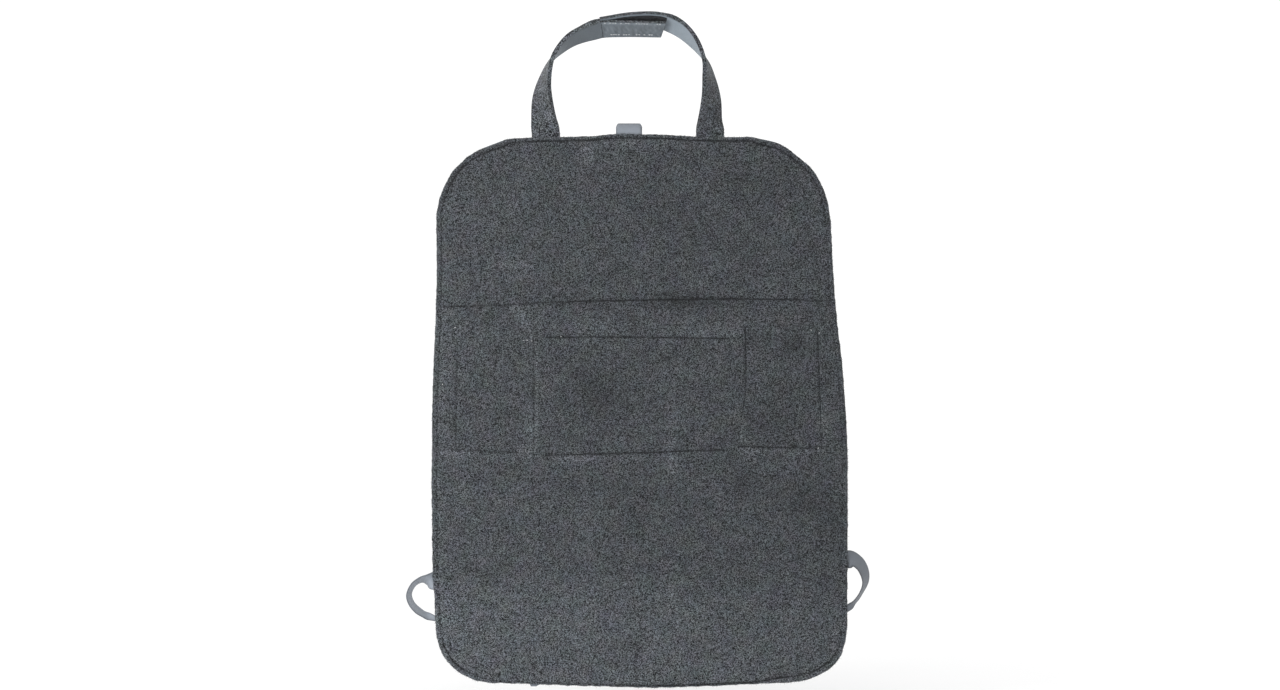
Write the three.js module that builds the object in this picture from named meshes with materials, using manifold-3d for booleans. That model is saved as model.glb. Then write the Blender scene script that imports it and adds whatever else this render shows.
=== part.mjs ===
// Car seat back organizer: a felt sheet that lies against the seat, a lined front sheet with
// pockets, a carrying strap at the top and a tape loop low on each side.
// Millimetres. X runs right and Z up as seen from the seat, and Y runs from the seat to the pockets.
// The origin is the middle of the felt face that lies against the seat.
import * as THREE from "three";
import { mergeVertices } from "three/addons/utils/BufferGeometryUtils.js";
import Module from "manifold-3d";

const wasm = await Module();
wasm.setup();

// Clearance between sewn layers, and around a thread or tape in its recess
const layerGap = 0.3;
const tapeGap = 0.35;

// Outline of the two sheets, as distances from the centre line and the middle height
const panelHeight = 553;
const edgeBow = 5;
const topCornerRadius = 80;
const bottomCornerRadius = 51;
const shoulderLeft = 204;
const shoulderRight = 190;
const waistLevel = 111;
const waistLeft = 204;
const waistRight = 194.5;
const hipLevel = -70;
const hipLeft = 208.5;
const hipRight = 208;
const footLeft = 205;
const footRight = 207;

// Sheets
const feltThickness = 2.5;
const frontThickness = 1.6;
const pocketThickness = 1.4;
const hemThickness = 1;
const hemLeaf = 11;
const hemEndInset = 1.5;

// Upper pocket between the sheets
const mouthLeft = 137;
const mouthRight = 119;
const upperPocketDepth = 15;
const upperPocketRise = 105;
const mouthStraight = 40;

// Seams in the felt face
const grooveDepth = 1.1;
const grooveStart = -1;
const threadWidth = 0.8;
const threadThickness = 0.5;
const threadSink = 0.3;
const seamInset = 4.8;
const seamInsetBottom = 3.2;
const crossSeamLeft = 104.5;
const crossSeamMiddle = 111.5;
const crossSeamRight = 110;
const crossSeamStop = 2;

// Side pockets, each with its stitched edges, mouth and bottom
const bottlePockets = {
  left: { topLeft: -182.5, bottomLeft: -184.5, topRight: -106, bottomRight: -106, mouth: 70, bottom: -42 },
  right: { topLeft: 105.5, bottomLeft: 98, topRight: 177.5, bottomRight: 182, mouth: 82, bottom: -36.5 },
};
const bottleDepth = 30;
const bottleFoot = 34;
const bottleStraight = 15;
const bottleHemLeaf = 8;
const seamAllowance = 4;

// Middle pocket with its slot
const tissueLeft = -93.5;
const tissueRight = 89.5;
const tissueTopSeam = 73.5;
const tissueBottomSeam = -42;
const tissueDepth = 24;
const tissueFlatTop = 44;
const tissueFlatBottom = -14;
const slotLength = 118;
const slotHeight = 24;
const slotBinding = 5;

// Lower pocket
const lowerMouth = -61;
const lowerDepth = 18;
const lowerStraight = 16;

// Carrying strap: two felt-faced ribbons joined by a hook and a loop tape
const strapWidth = 28;
const strapThickness = 2.2;
const strapLegDepth = 26;
const strapRise = 114;
const leftLegX = -94.3;
const rightLegX = 70.2;
const closureTapeWidth = 23;
const hookThickness = 0.7;
const loopThickness = 0.7;

// Closing tab over the mouth
const tabWidth = 26;
const tabX = -11;
const tabThickness = 1.2;
const tabRise = 9.7;
const tabTail = 36;
const tabDrop = 40;
const tabPatchWidth = 22;
const tabPatchLength = 20;
const tabPatchThickness = 1.1;
const tabPatchEdge = 1;

// Tape loops at the sides
const loopTapeWidth = 18;
const loopTapeThickness = 0.9;
const loopAnchor = 14;
const leftLoop = { reach: 25.8, height: 28, rise: 36.5 };
const rightLoop = { reach: 18.6, height: 38, rise: 53.5 };

// Points along curved stretches
const outlineSteps = 5;
const foldSteps = 4;
const mouthSteps = 12;
const riseSteps = 7;
const pocketSteps = 12;
const footSteps = 5;
const bandSteps = 5;

const shoulderLevel = panelHeight / 2 - edgeBow - topCornerRadius;
const footLevel = -(panelHeight / 2 - edgeBow - bottomCornerRadius);
const frontBase = feltThickness + layerGap;
const pocketBase = frontBase + frontThickness + layerGap;

const felt = new THREE.MeshStandardMaterial({ color: 0x4a4e52, roughness: 0.96, metalness: 0 });
const lining = new THREE.MeshStandardMaterial({ color: 0x6b727a, roughness: 0.7, metalness: 0 });
const tape = new THREE.MeshStandardMaterial({ color: 0x9299a3, roughness: 0.75, metalness: 0 });
const binding = new THREE.MeshStandardMaterial({ color: 0x3a3e43, roughness: 0.85, metalness: 0 });
const hookAndLoop = new THREE.MeshStandardMaterial({ color: 0x2c2f33, roughness: 0.9, metalness: 0 });
const thread = new THREE.MeshStandardMaterial({ color: 0x1d1f22, roughness: 0.8, metalness: 0 });

const root = new THREE.Group();
root.name = "car_seat_back_organizer";

function addPart(name, geometry, material) {
  const mesh = new THREE.Mesh(geometry, material);
  mesh.name = name;
  root.add(mesh);
}

function clamp01(value) {
  return Math.min(1, Math.max(0, value));
}

function smooth(value) {
  const t = clamp01(value);
  return t * t * (3 - 2 * t);
}

function steps(count) {
  return Array.from({ length: count + 1 }, (_, i) => i / count);
}

// Closed meshes joined and cut as solids
function toSolid(geometry) {
  const bare = geometry.clone();
  bare.deleteAttribute("normal");
  bare.deleteAttribute("uv");
  const merged = mergeVertices(bare, 1e-4);
  const vertProperties = merged.getAttribute("position").array;
  const triVerts = new Uint32Array(merged.index.array);
  return new wasm.Manifold(new wasm.Mesh({ numProp: 3, vertProperties, triVerts }));
}

function toGeometry(solid) {
  const mesh = solid.getMesh();
  const geometry = new THREE.BufferGeometry();
  geometry.setAttribute("position", new THREE.BufferAttribute(mesh.vertProperties, 3));
  geometry.setIndex(new THREE.BufferAttribute(mesh.triVerts, 1));
  geometry.computeVertexNormals();
  return geometry;
}

// A flat shape in X and Z, from one depth to another
function prism(shape, fromY, toY) {
  const geometry = new THREE.ExtrudeGeometry(shape, {
    depth: toY - fromY,
    bevelEnabled: false,
    curveSegments: outlineSteps,
  });
  geometry.rotateX(Math.PI / 2);
  geometry.translate(0, toY, 0);
  return geometry;
}

// A closed sheet of even thickness about a grid of points
function thicken(grid, thickness) {
  const rows = grid.length;
  const columns = grid[0].length;
  const positions = [];
  for (const side of [0.5, -0.5]) {
    grid.forEach((row, r) => {
      row.forEach((point, c) => {
        const along = grid[Math.min(r + 1, rows - 1)][c].clone().sub(grid[Math.max(r - 1, 0)][c]);
        const across = row[Math.min(c + 1, columns - 1)].clone().sub(row[Math.max(c - 1, 0)]);
        const normal = across.cross(along).normalize();
        positions.push(...normal.multiplyScalar(side * thickness).add(point).toArray());
      });
    });
  }
  const under = rows * columns;
  const at = (r, c) => r * columns + c;
  const triangles = [];
  for (let r = 0; r < rows - 1; r++) {
    for (let c = 0; c < columns - 1; c++) {
      const corners = [at(r, c), at(r, c + 1), at(r + 1, c + 1), at(r + 1, c)];
      const [a, b, d, e] = corners;
      triangles.push(a, b, d, a, d, e);
      triangles.push(under + a, under + d, under + b, under + a, under + e, under + d);
    }
  }
  const rim = [];
  for (let c = 0; c < columns - 1; c++) rim.push(at(0, c));
  for (let r = 0; r < rows - 1; r++) rim.push(at(r, columns - 1));
  for (let c = columns - 1; c > 0; c--) rim.push(at(rows - 1, c));
  for (let r = rows - 1; r > 0; r--) rim.push(at(r, 0));
  rim.forEach((from, i) => {
    const to = rim[(i + 1) % rim.length];
    triangles.push(to, from, under + from, to, under + from, under + to);
  });
  const geometry = new THREE.BufferGeometry();
  geometry.setAttribute("position", new THREE.Float32BufferAttribute(positions, 3));
  geometry.setIndex(triangles);
  geometry.computeVertexNormals();
  return geometry;
}

// The sheets' outline, drawn in by an inset at the sides and top and another at the bottom
function outline(inset = 0, bottomInset = inset) {
  const topRadius = topCornerRadius - inset;
  const bottomRadius = bottomCornerRadius - inset;
  const bottomLevel = footLevel - bottomCornerRadius + bottomInset;
  const footCentre = bottomLevel + bottomRadius;
  const topLevel = shoulderLevel + topRadius;
  const shape = new THREE.Shape();
  shape.moveTo(footRight - inset, footCentre);
  shape.splineThru([
    new THREE.Vector2(hipRight - inset, hipLevel),
    new THREE.Vector2(waistRight - inset, waistLevel),
    new THREE.Vector2(shoulderRight - inset, shoulderLevel),
  ]);
  shape.absarc(shoulderRight - topCornerRadius, shoulderLevel, topRadius, 0, Math.PI / 2);
  shape.quadraticCurveTo(
    (shoulderRight - shoulderLeft) / 2,
    topLevel + 2 * edgeBow,
    topCornerRadius - shoulderLeft,
    topLevel,
  );
  shape.absarc(topCornerRadius - shoulderLeft, shoulderLevel, topRadius, Math.PI / 2, Math.PI);
  shape.splineThru([
    new THREE.Vector2(inset - waistLeft, waistLevel),
    new THREE.Vector2(inset - hipLeft, hipLevel),
    new THREE.Vector2(inset - footLeft, footCentre),
  ]);
  shape.absarc(bottomCornerRadius - footLeft, footCentre, bottomRadius, Math.PI, Math.PI * 1.5);
  shape.quadraticCurveTo(
    (footRight - footLeft) / 2,
    bottomLevel - 2 * edgeBow,
    footRight - bottomCornerRadius,
    bottomLevel,
  );
  shape.absarc(footRight - bottomCornerRadius, footCentre, bottomRadius, -Math.PI / 2, 0);
  return shape;
}

// Height of the sheets' bowed top edge at a place across it
function topEdge(x) {
  const middle = (shoulderRight - shoulderLeft) / 2;
  const half = (shoulderRight + shoulderLeft) / 2 - topCornerRadius;
  return panelHeight / 2 - edgeBow * Math.min(1, ((x - middle) / half) ** 2);
}

function crossSeam(x) {
  const side = x < 0 ? crossSeamLeft : crossSeamRight;
  const reach = x < 0 ? waistLeft : waistRight;
  return crossSeamMiddle - (crossSeamMiddle - side) * (x / reach) ** 2;
}

// Room behind a sheet's mouth for the inner leaf of its hem: it grows over one straight length
// and is whole from the next one up
function hemRoom(z, mouth, straight) {
  return (hemThickness + layerGap) * smooth((z - (mouth - 2 * straight)) / straight);
}

// Depth of the space between the two sheets: it opens above the cross seam and towards the mouth
function upperPocketBulge(x, z) {
  const straightLevel = panelHeight / 2 - mouthStraight;
  const toMouth = clamp01((z - shoulderLevel) / (straightLevel - shoulderLevel));
  const left = THREE.MathUtils.lerp(shoulderLeft - seamInset, mouthLeft, toMouth);
  const right = THREE.MathUtils.lerp(shoulderRight - seamInset, mouthRight, toMouth);
  const across = clamp01(Math.abs((2 * x + left - right) / (left + right)));
  const open = smooth((z - crossSeam(x) - seamAllowance) / upperPocketRise);
  const bulge = upperPocketDepth * open * Math.cos((across * Math.PI) / 2);
  return bulge + hemRoom(z, panelHeight / 2, mouthStraight);
}

function lowerPocketBulge(x, z) {
  const bottom = seamInsetBottom + edgeBow - panelHeight / 2;
  const across = clamp01(Math.abs(x) / (footRight - 2 * seamInset));
  const open = Math.sqrt(clamp01((z - bottom) / (lowerMouth - lowerStraight - bottom)));
  const bulge = lowerDepth * open * Math.cos((across * Math.PI) / 2);
  return bulge + hemRoom(z, lowerMouth, lowerStraight);
}

// A sheet over columns in X and levels in Z, whose depth follows a bulge over a flat base
function bulgedSheet(columns, levels, base, thickness, bulge) {
  const grid = levels.map((z) =>
    columns.map((x) => new THREE.Vector3(x, base + thickness / 2 + bulge(x, z), z)),
  );
  return toSolid(thicken(grid, thickness));
}

// Places at even steps from one value to another
function spread(from, to, count) {
  return steps(count).map((t) => THREE.MathUtils.lerp(from, to, t));
}

// A strip of even width in the X-Z plane along a line of points, from one depth to another
function strip(points, width, fromY, toY) {
  const middle = (fromY + toY) / 2;
  const last = points.length - 1;
  const runs = points.slice(1).map((point, i) => point.clone().sub(points[i]).normalize());
  const grid = points.map((point, i) => {
    const run = runs[Math.max(i - 1, 0)];
    const direction = run.clone().add(runs[Math.min(i, last - 1)]).normalize();
    const mitre = width / 2 / direction.dot(run);
    return [1, -1].map(
      (side) =>
        new THREE.Vector3(
          point.x + side * mitre * direction.y,
          middle,
          point.y - side * mitre * direction.x,
        ),
    );
  });
  return thicken(grid, toY - fromY);
}

// Thread of an open seam, lying in a groove that is wider by the clearance on each side
function threadGeometry(points) {
  return strip(points, threadWidth, threadSink, threadSink + threadThickness);
}

function grooveSolid(points) {
  return toSolid(strip(points, threadWidth + 2 * layerGap, grooveStart, grooveDepth));
}

function ring(outer, inner, fromY, toY) {
  outer.holes.push(inner);
  return prism(outer, fromY, toY);
}

// Hem tape folded over the edge of a sheet: each station has a point, the sheet's normal and
// the direction out of the edge
function hem(stations, sheetThickness, leaf) {
  const reach = sheetThickness / 2 + layerGap + hemThickness / 2;
  const section = [new THREE.Vector2(-reach, -leaf)];
  for (const t of steps(foldSteps)) {
    const angle = Math.PI * (1 - t);
    section.push(new THREE.Vector2(reach * Math.cos(angle), reach * Math.sin(angle)));
  }
  section.push(new THREE.Vector2(reach, -leaf));
  const grid = stations.map(({ point, normal, out }) =>
    section.map((s) => point.clone().addScaledVector(normal, s.x).addScaledVector(out, s.y)),
  );
  return thicken(grid, hemThickness);
}

// Stations of a hem along a sheet's edge, from the edge's points and the sheet's points below them
function hemStations(points, below) {
  return points.map((point, i) => {
    const before = points[Math.max(i - 1, 0)];
    const after = points[Math.min(i + 1, points.length - 1)];
    const out = point.clone().sub(below[i]).normalize();
    const normal = out.clone().cross(after.clone().sub(before)).normalize();
    return { point, normal, out };
  });
}

// Stations of a hem on a sheet that stands straight up below its mouth
function uprightStations(points) {
  const below = points.map((point) => point.clone().setZ(point.z - hemLeaf));
  return hemStations(points, below);
}

// A twisted ribbon: each station has a place in X and Z, the twist of its width out of the
// X-Z plane in degrees, and its width. The stations are joined by a smooth curve.
function ribbon(stations, depth, width, thickness, { inward = 1, offset = 0, first = 0 } = {}) {
  const path = new THREE.CatmullRomCurve3(
    stations.map(([x, z]) => new THREE.Vector3(x, depth, z)),
    false,
    "centripetal",
  );
  const last = stations.length - 1;
  const grid = spread(first / last, 1, 2 * (last - first)).map((t) => {
    const point = path.getPoint(t);
    const tangent = path.getTangent(t);
    const before = Math.min(Math.floor(t * last), last - 1);
    const share = t * last - before;
    const twist = THREE.MathUtils.lerp(stations[before][2], stations[before + 1][2], share);
    const narrow = THREE.MathUtils.lerp(stations[before][3] ?? 1, stations[before + 1][3] ?? 1, share);
    const angle = THREE.MathUtils.degToRad(twist);
    const side = new THREE.Vector3(tangent.z, 0, -tangent.x).multiplyScalar(inward);
    const across = side.multiplyScalar(Math.cos(angle));
    across.y = -Math.sin(angle);
    const normal = across.clone().cross(tangent).multiplyScalar(inward);
    const centre = point.addScaledVector(normal, offset);
    return [-0.5, 0.5].map((s) => centre.clone().addScaledVector(across, s * width * narrow));
  });
  return thicken(grid, thickness);
}

// Felt sheet against the seat, with its grooves and the recesses for the side loops
const leftPocket = bottlePockets.left;
const rightPocket = bottlePockets.right;
const crossSeamInset = seamInset + crossSeamStop;
const crossSeamPoints = spread(
  crossSeamInset - waistLeft,
  waistRight - crossSeamInset,
  bandSteps * 2,
).map((x) => new THREE.Vector2(x, crossSeam(x)));

function pocketSeamPoints(pocket) {
  return [
    new THREE.Vector2(pocket.topLeft, pocket.mouth),
    new THREE.Vector2(pocket.bottomLeft, pocket.bottom),
    new THREE.Vector2(pocket.bottomRight, pocket.bottom),
    new THREE.Vector2(pocket.topRight, pocket.mouth),
  ];
}

function tissueSeamPoints(level) {
  return [new THREE.Vector2(tissueLeft, level), new THREE.Vector2(tissueRight, level)];
}

const openSeams = {
  cross_seam: crossSeamPoints,
  left_pocket_seam: pocketSeamPoints(leftPocket),
  right_pocket_seam: pocketSeamPoints(rightPocket),
  tissue_top_seam: tissueSeamPoints(tissueTopSeam),
  tissue_bottom_seam: tissueSeamPoints(tissueBottomSeam),
};

// Tape loops: an anchored end, the turn outside the edge, and a narrower anchored end. Each turn
// station has its share of the loop's reach, its share of the height, its twist and its width.
const leftTurn = [
  [0.147, 0.464, 0, 1],
  [0.504, 0.493, 52, 1],
  [0.814, 0.357, 66, 1],
  [1, 0, 73, 1],
  [0.93, -0.286, 71, 1],
  [0.698, -0.536, 66, 0.9],
  [0.388, -0.714, 42, 0.6],
  [0.147, -0.804, 0, 0.5],
];
const rightTurn = [
  [0.183, 0.487, 0, 1],
  [0.565, 0.447, 40, 1],
  [0.849, 0.276, 48, 1],
  [1, 0, 56, 1],
  [0.914, -0.289, 68, 1],
  [0.683, -0.489, 72, 1],
  [0.419, -0.645, 50, 0.7],
  [0.172, -0.776, 0, 0.45],
];

function loopStations(turn, loop, edge, extra = 0) {
  const side = Math.sign(edge);
  const level = footLevel + loop.rise;
  const anchorX = edge - side * (loopAnchor + extra);
  const places = turn.map(([out, up, twist, width]) => [
    edge + side * out * loop.reach,
    level + up * loop.height,
    twist,
    width,
  ]);
  const [, startZ, startTwist, startWidth] = places[0];
  const endWidth = places[places.length - 1][3];
  return [
    [anchorX, startZ, startTwist, startWidth],
    ...places,
    [anchorX, level - loop.height, 0, endWidth],
  ];
}

const loopDepth = feltThickness + layerGap / 2;

function loopGeometry(stations, clearance = 0) {
  const width = loopTapeWidth + 2 * clearance;
  return ribbon(stations, loopDepth, width, loopTapeThickness + 2 * clearance);
}

const loopRecesses = [
  loopStations(leftTurn, leftLoop, -footLeft, tapeGap),
  loopStations(rightTurn, rightLoop, footRight, tapeGap),
].map((stations) => toSolid(loopGeometry(stations, tapeGap)));

function withRecesses(solid) {
  return loopRecesses.reduce((left, recess) => left.subtract(recess), solid);
}

const grooveMargin = threadWidth / 2 + layerGap;
const perimeterGroove = toSolid(
  ring(
    outline(seamInset - grooveMargin, seamInsetBottom - grooveMargin),
    outline(seamInset + grooveMargin, seamInsetBottom + grooveMargin),
    grooveStart,
    grooveDepth,
  ),
);
const grooves = [perimeterGroove, ...Object.values(openSeams).map(grooveSolid)];
const feltSheet = grooves.reduce(
  (left, groove) => left.subtract(groove),
  toSolid(prism(outline(), 0, feltThickness)),
);
addPart("back_panel", toGeometry(withRecesses(feltSheet)), felt);

// Front sheet, bulged over the upper pocket
const reachX = Math.max(hipLeft, hipRight) + seamAllowance;
const reachZ = panelHeight / 2 + seamAllowance;
const mouthColumns = spread(-mouthLeft, mouthRight, mouthSteps);
const frontColumns = [
  -reachX,
  -(reachX + mouthLeft) / 2,
  ...mouthColumns,
  (reachX + mouthRight) / 2,
  reachX,
];
const frontLevels = [
  -reachZ,
  ...spread(crossSeamLeft, panelHeight / 2 - mouthStraight, riseSteps),
  reachZ,
];
const sheetPrism = toSolid(prism(outline(), 0, reachX));
const frontSheet = bulgedSheet(
  frontColumns,
  frontLevels,
  frontBase,
  frontThickness,
  upperPocketBulge,
).intersect(sheetPrism);
addPart("front_panel", toGeometry(withRecesses(frontSheet)), lining);

// Middle of the front sheet's thickness at its mouth
function mouthPoint(x) {
  const y = frontBase + frontThickness / 2 + upperPocketBulge(x, panelHeight / 2);
  return new THREE.Vector3(x, y, topEdge(x));
}

addPart(
  "mouth_hem",
  hem(uprightStations(mouthColumns.map(mouthPoint)), frontThickness, hemLeaf),
  binding,
);

// Lower pocket, cut to the same outline
const hemSides = spread(hemEndInset - hipLeft, hipRight - hemEndInset, mouthSteps);
const lowerLevels = [
  -reachZ,
  ...spread(-panelHeight / 2 + seamInsetBottom + edgeBow, lowerMouth - lowerStraight, bandSteps),
  lowerMouth,
];
const lowerSheet = bulgedSheet(
  [-reachX, ...hemSides, reachX],
  lowerLevels,
  pocketBase,
  pocketThickness,
  lowerPocketBulge,
).intersect(sheetPrism);
addPart("lower_pocket", toGeometry(lowerSheet), lining);

function lowerMouthPoint(x) {
  const y = pocketBase + pocketThickness / 2 + lowerPocketBulge(x, lowerMouth);
  return new THREE.Vector3(x, y, lowerMouth);
}

addPart(
  "lower_pocket_hem",
  hem(uprightStations(hemSides.map(lowerMouthPoint)), pocketThickness, hemLeaf),
  binding,
);

// Side pockets: a D-shaped section that closes to the sheet at the bottom
function pocketRow(pocket, level, depth) {
  const share = clamp01((level - pocket.bottom) / (pocket.mouth - pocket.bottom));
  const left = THREE.MathUtils.lerp(pocket.bottomLeft, pocket.topLeft, share);
  const right = THREE.MathUtils.lerp(pocket.bottomRight, pocket.topRight, share);
  const y = pocketBase + pocketThickness / 2;
  const curve = steps(pocketSteps).map((t) => {
    const x = (left + right) / 2 - ((right - left) / 2) * Math.cos(Math.PI * t);
    return new THREE.Vector3(x, y + depth * Math.sin(Math.PI * t), level);
  });
  return [
    new THREE.Vector3(left - seamAllowance, y, level),
    ...curve,
    new THREE.Vector3(right + seamAllowance, y, level),
  ];
}

function bottlePocket(name, pocket) {
  const rows = [pocketRow(pocket, pocket.bottom - seamAllowance, 0)];
  for (const t of steps(footSteps)) {
    const angle = (t * Math.PI) / 2;
    const level = pocket.bottom + bottleFoot * (1 - Math.cos(angle));
    rows.push(pocketRow(pocket, level, bottleDepth * Math.sin(angle)));
  }
  const below = pocketRow(pocket, pocket.mouth - bottleStraight, bottleDepth);
  const mouth = pocketRow(pocket, pocket.mouth, bottleDepth);
  rows.push(below, mouth);
  addPart(name, thicken(rows, pocketThickness), lining);
  const curve = hemStations(mouth, below).slice(2, -2);
  addPart(name + "_hem", hem(curve, pocketThickness, bottleHemLeaf), binding);
}

bottlePocket("bottle_pocket_left", leftPocket);
bottlePocket("bottle_pocket_right", rightPocket);

// Middle pocket: a band sewn at its top and bottom, with a bound slot in its flat front
function slotShape(margin) {
  const shape = new THREE.Shape();
  const middle = (tissueFlatTop + tissueFlatBottom) / 2;
  const radius = slotHeight / 2 + margin;
  const centre = (tissueLeft + tissueRight) / 2;
  const run = (slotLength - slotHeight) / 2;
  shape.absarc(centre + run, middle, radius, -Math.PI / 2, Math.PI / 2);
  shape.absarc(centre - run, middle, radius, Math.PI / 2, Math.PI * 1.5);
  return shape;
}

function tissueBand() {
  const profile = [new THREE.Vector2(0, tissueBottomSeam - seamAllowance)];
  for (const t of steps(bandSteps)) {
    const level = THREE.MathUtils.lerp(tissueBottomSeam, tissueFlatBottom, t);
    profile.push(new THREE.Vector2(tissueDepth * smooth(t), level));
  }
  for (const t of steps(bandSteps)) {
    const level = THREE.MathUtils.lerp(tissueFlatTop, tissueTopSeam, t);
    profile.push(new THREE.Vector2(tissueDepth * smooth(1 - t), level));
  }
  profile.push(new THREE.Vector2(0, tissueTopSeam + seamAllowance));
  const y = pocketBase + pocketThickness / 2;
  const grid = profile.map((p) =>
    [tissueLeft, tissueRight].map((x) => new THREE.Vector3(x, y + p.x, p.y)),
  );
  return toSolid(thicken(grid, pocketThickness));
}

const bandFront = pocketBase + tissueDepth + pocketThickness;
const slotCut = toSolid(prism(slotShape(0), pocketBase, bandFront + slotBinding));
addPart("tissue_pocket", toGeometry(tissueBand().subtract(slotCut)), lining);
addPart(
  "tissue_slot_binding",
  ring(
    slotShape(slotBinding),
    slotShape(0),
    bandFront + layerGap,
    bandFront + layerGap + hemThickness,
  ),
  binding,
);

// Carrying strap: each half rises from between the sheets and twists as it goes over. A station
// has its share of the way from the left leg to the right one, its share of the strap's rise
// over the sheet's top, and its twist.
const strapDepth = feltThickness + layerGap + strapThickness / 2;
const leftBend = [
  [0, 0.013, 0],
  [-0.01, 0.118, 25],
  [-0.016, 0.32, 43],
  [-0.012, 0.457, 58],
  [0.029, 0.655, 79],
  [0.089, 0.761, 98],
  [0.172, 0.854, 112],
  [0.33, 0.925, 116],
  [0.474, 0.931, 114],
  [0.711, 0.925, 113],
];
const rightBend = [
  [1, 0.013, 0],
  [1, 0.11, 30],
  [1.007, 0.32, 49],
  [0.995, 0.487, 63],
  [0.968, 0.645, 80],
  [0.886, 0.808, 103],
  [0.808, 0.923, 112],
  [0.707, 0.996, 113],
  [0.537, 1.006, 114],
  [0.351, 0.975, 116],
];

function strapStations(legX, bend) {
  const top = panelHeight / 2;
  return [
    [legX, top - strapLegDepth, 0],
    ...bend.map(([across, up, twist]) => [
      THREE.MathUtils.lerp(leftLegX, rightLegX, across),
      top + up * strapRise,
      twist,
    ]),
  ];
}

const leftStrap = strapStations(leftLegX, leftBend);
const rightStrap = strapStations(rightLegX, rightBend);
const joinedStations = 2;
const loopOffset = strapThickness / 2 + layerGap + loopThickness / 2;
const hookOffset = strapThickness / 2 + layerGap + hookThickness / 2;
addPart("strap_left", ribbon(leftStrap, strapDepth, strapWidth, strapThickness), felt);
addPart(
  "strap_right",
  ribbon(rightStrap, strapDepth, strapWidth, strapThickness, { inward: -1 }),
  felt,
);
addPart(
  "strap_loop_tape",
  ribbon(leftStrap, strapDepth, closureTapeWidth, loopThickness, {
    offset: loopOffset,
    first: leftStrap.length - 1 - joinedStations,
  }),
  hookAndLoop,
);
addPart(
  "strap_hook_tape",
  ribbon(rightStrap, strapDepth, closureTapeWidth, hookThickness, {
    inward: -1,
    offset: -hookOffset,
    first: rightStrap.length - 1 - joinedStations,
  }),
  hookAndLoop,
);

// Closing tab: a tape from inside the pocket, over the mouth and down the front
const tabInside = feltThickness + layerGap + tabThickness / 2;
const mouthFront = mouthPoint((mouthRight - mouthLeft) / 2).y + frontThickness / 2;
const loopPatchY = mouthFront + layerGap;
const hookPatchY = loopPatchY + tabPatchThickness + layerGap;
const tabFront = hookPatchY + tabPatchThickness + layerGap + tabThickness / 2;
const tabSpring = panelHeight / 2;
const tabPath = [new THREE.Vector2(tabInside, tabSpring - tabTail)];
for (const t of steps(foldSteps * 2)) {
  const angle = Math.PI * (1 - t);
  const y = (tabInside + tabFront) / 2 + ((tabFront - tabInside) / 2) * Math.cos(angle);
  tabPath.push(new THREE.Vector2(y, tabSpring + layerGap + tabRise * Math.sin(angle)));
}
tabPath.push(new THREE.Vector2(tabFront, tabSpring - tabDrop));
const tabGrid = tabPath.map((p) =>
  [-0.5, 0.5].map((s) => new THREE.Vector3(tabX + s * tabWidth, p.x, p.y)),
);
addPart("closing_tab", thicken(tabGrid, tabThickness), tape);

function tabPatch(name, nearY) {
  const patch = new THREE.BoxGeometry(tabPatchWidth, tabPatchThickness, tabPatchLength);
  const level = tabSpring - tabDrop + tabPatchLength / 2 + tabPatchEdge;
  patch.translate(tabX, nearY + tabPatchThickness / 2, level);
  addPart(name, patch, hookAndLoop);
}

tabPatch("tab_loop_patch", loopPatchY);
tabPatch("tab_hook_patch", hookPatchY);

addPart("side_loop_left", loopGeometry(loopStations(leftTurn, leftLoop, -footLeft)), tape);
addPart("side_loop_right", loopGeometry(loopStations(rightTurn, rightLoop, footRight)), tape);

// Threads, lying in their grooves below the felt face
addPart(
  "perimeter_seam",
  ring(
    outline(seamInset - threadWidth / 2, seamInsetBottom - threadWidth / 2),
    outline(seamInset + threadWidth / 2, seamInsetBottom + threadWidth / 2),
    threadSink,
    threadSink + threadThickness,
  ),
  thread,
);
for (const [name, points] of Object.entries(openSeams)) {
  addPart(name, threadGeometry(points), thread);
}

export default root;
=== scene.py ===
"""Car seat back organizer, seen from the side that lies against the seat.

A felt sheet with topstitched seams, a lined front sheet with its pockets, a carrying strap with
its closure, a closing tab and a tape loop low on each side. All lengths are in metres: X runs
right and Z up as seen from the seat, and Y runs from the seat to the pockets.
"""

import logging
import math
from dataclasses import dataclass, field, replace
from enum import Enum
from functools import reduce
from typing import Optional, Sequence, Union

import bpy
import numpy as np
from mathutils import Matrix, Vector
from mathutils.geometry import delaunay_2d_cdt


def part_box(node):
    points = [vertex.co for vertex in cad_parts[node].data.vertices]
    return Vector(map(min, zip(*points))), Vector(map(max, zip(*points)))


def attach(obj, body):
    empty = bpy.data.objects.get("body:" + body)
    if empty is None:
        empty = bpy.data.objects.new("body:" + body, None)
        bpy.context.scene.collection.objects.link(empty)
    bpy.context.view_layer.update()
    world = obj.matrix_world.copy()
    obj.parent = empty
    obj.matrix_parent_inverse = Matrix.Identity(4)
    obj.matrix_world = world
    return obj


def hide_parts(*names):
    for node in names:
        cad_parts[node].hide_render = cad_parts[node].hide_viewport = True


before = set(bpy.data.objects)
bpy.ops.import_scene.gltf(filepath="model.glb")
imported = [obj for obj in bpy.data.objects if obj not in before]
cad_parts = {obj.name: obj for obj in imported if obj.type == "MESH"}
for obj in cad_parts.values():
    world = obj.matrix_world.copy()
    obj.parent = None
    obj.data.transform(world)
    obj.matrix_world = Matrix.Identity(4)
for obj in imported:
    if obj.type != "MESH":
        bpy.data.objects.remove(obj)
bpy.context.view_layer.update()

Array = np.ndarray
Piece = bpy.types.Object
Material = bpy.types.Material
Group = bpy.types.NodeTree
Node = bpy.types.Node
Socket = bpy.types.NodeSocket
Value = Union[float, Sequence[float], Socket]
Colour = tuple[float, float, float]
Tone = Union[Node, Socket]

log = logging.getLogger("organizer")

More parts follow.
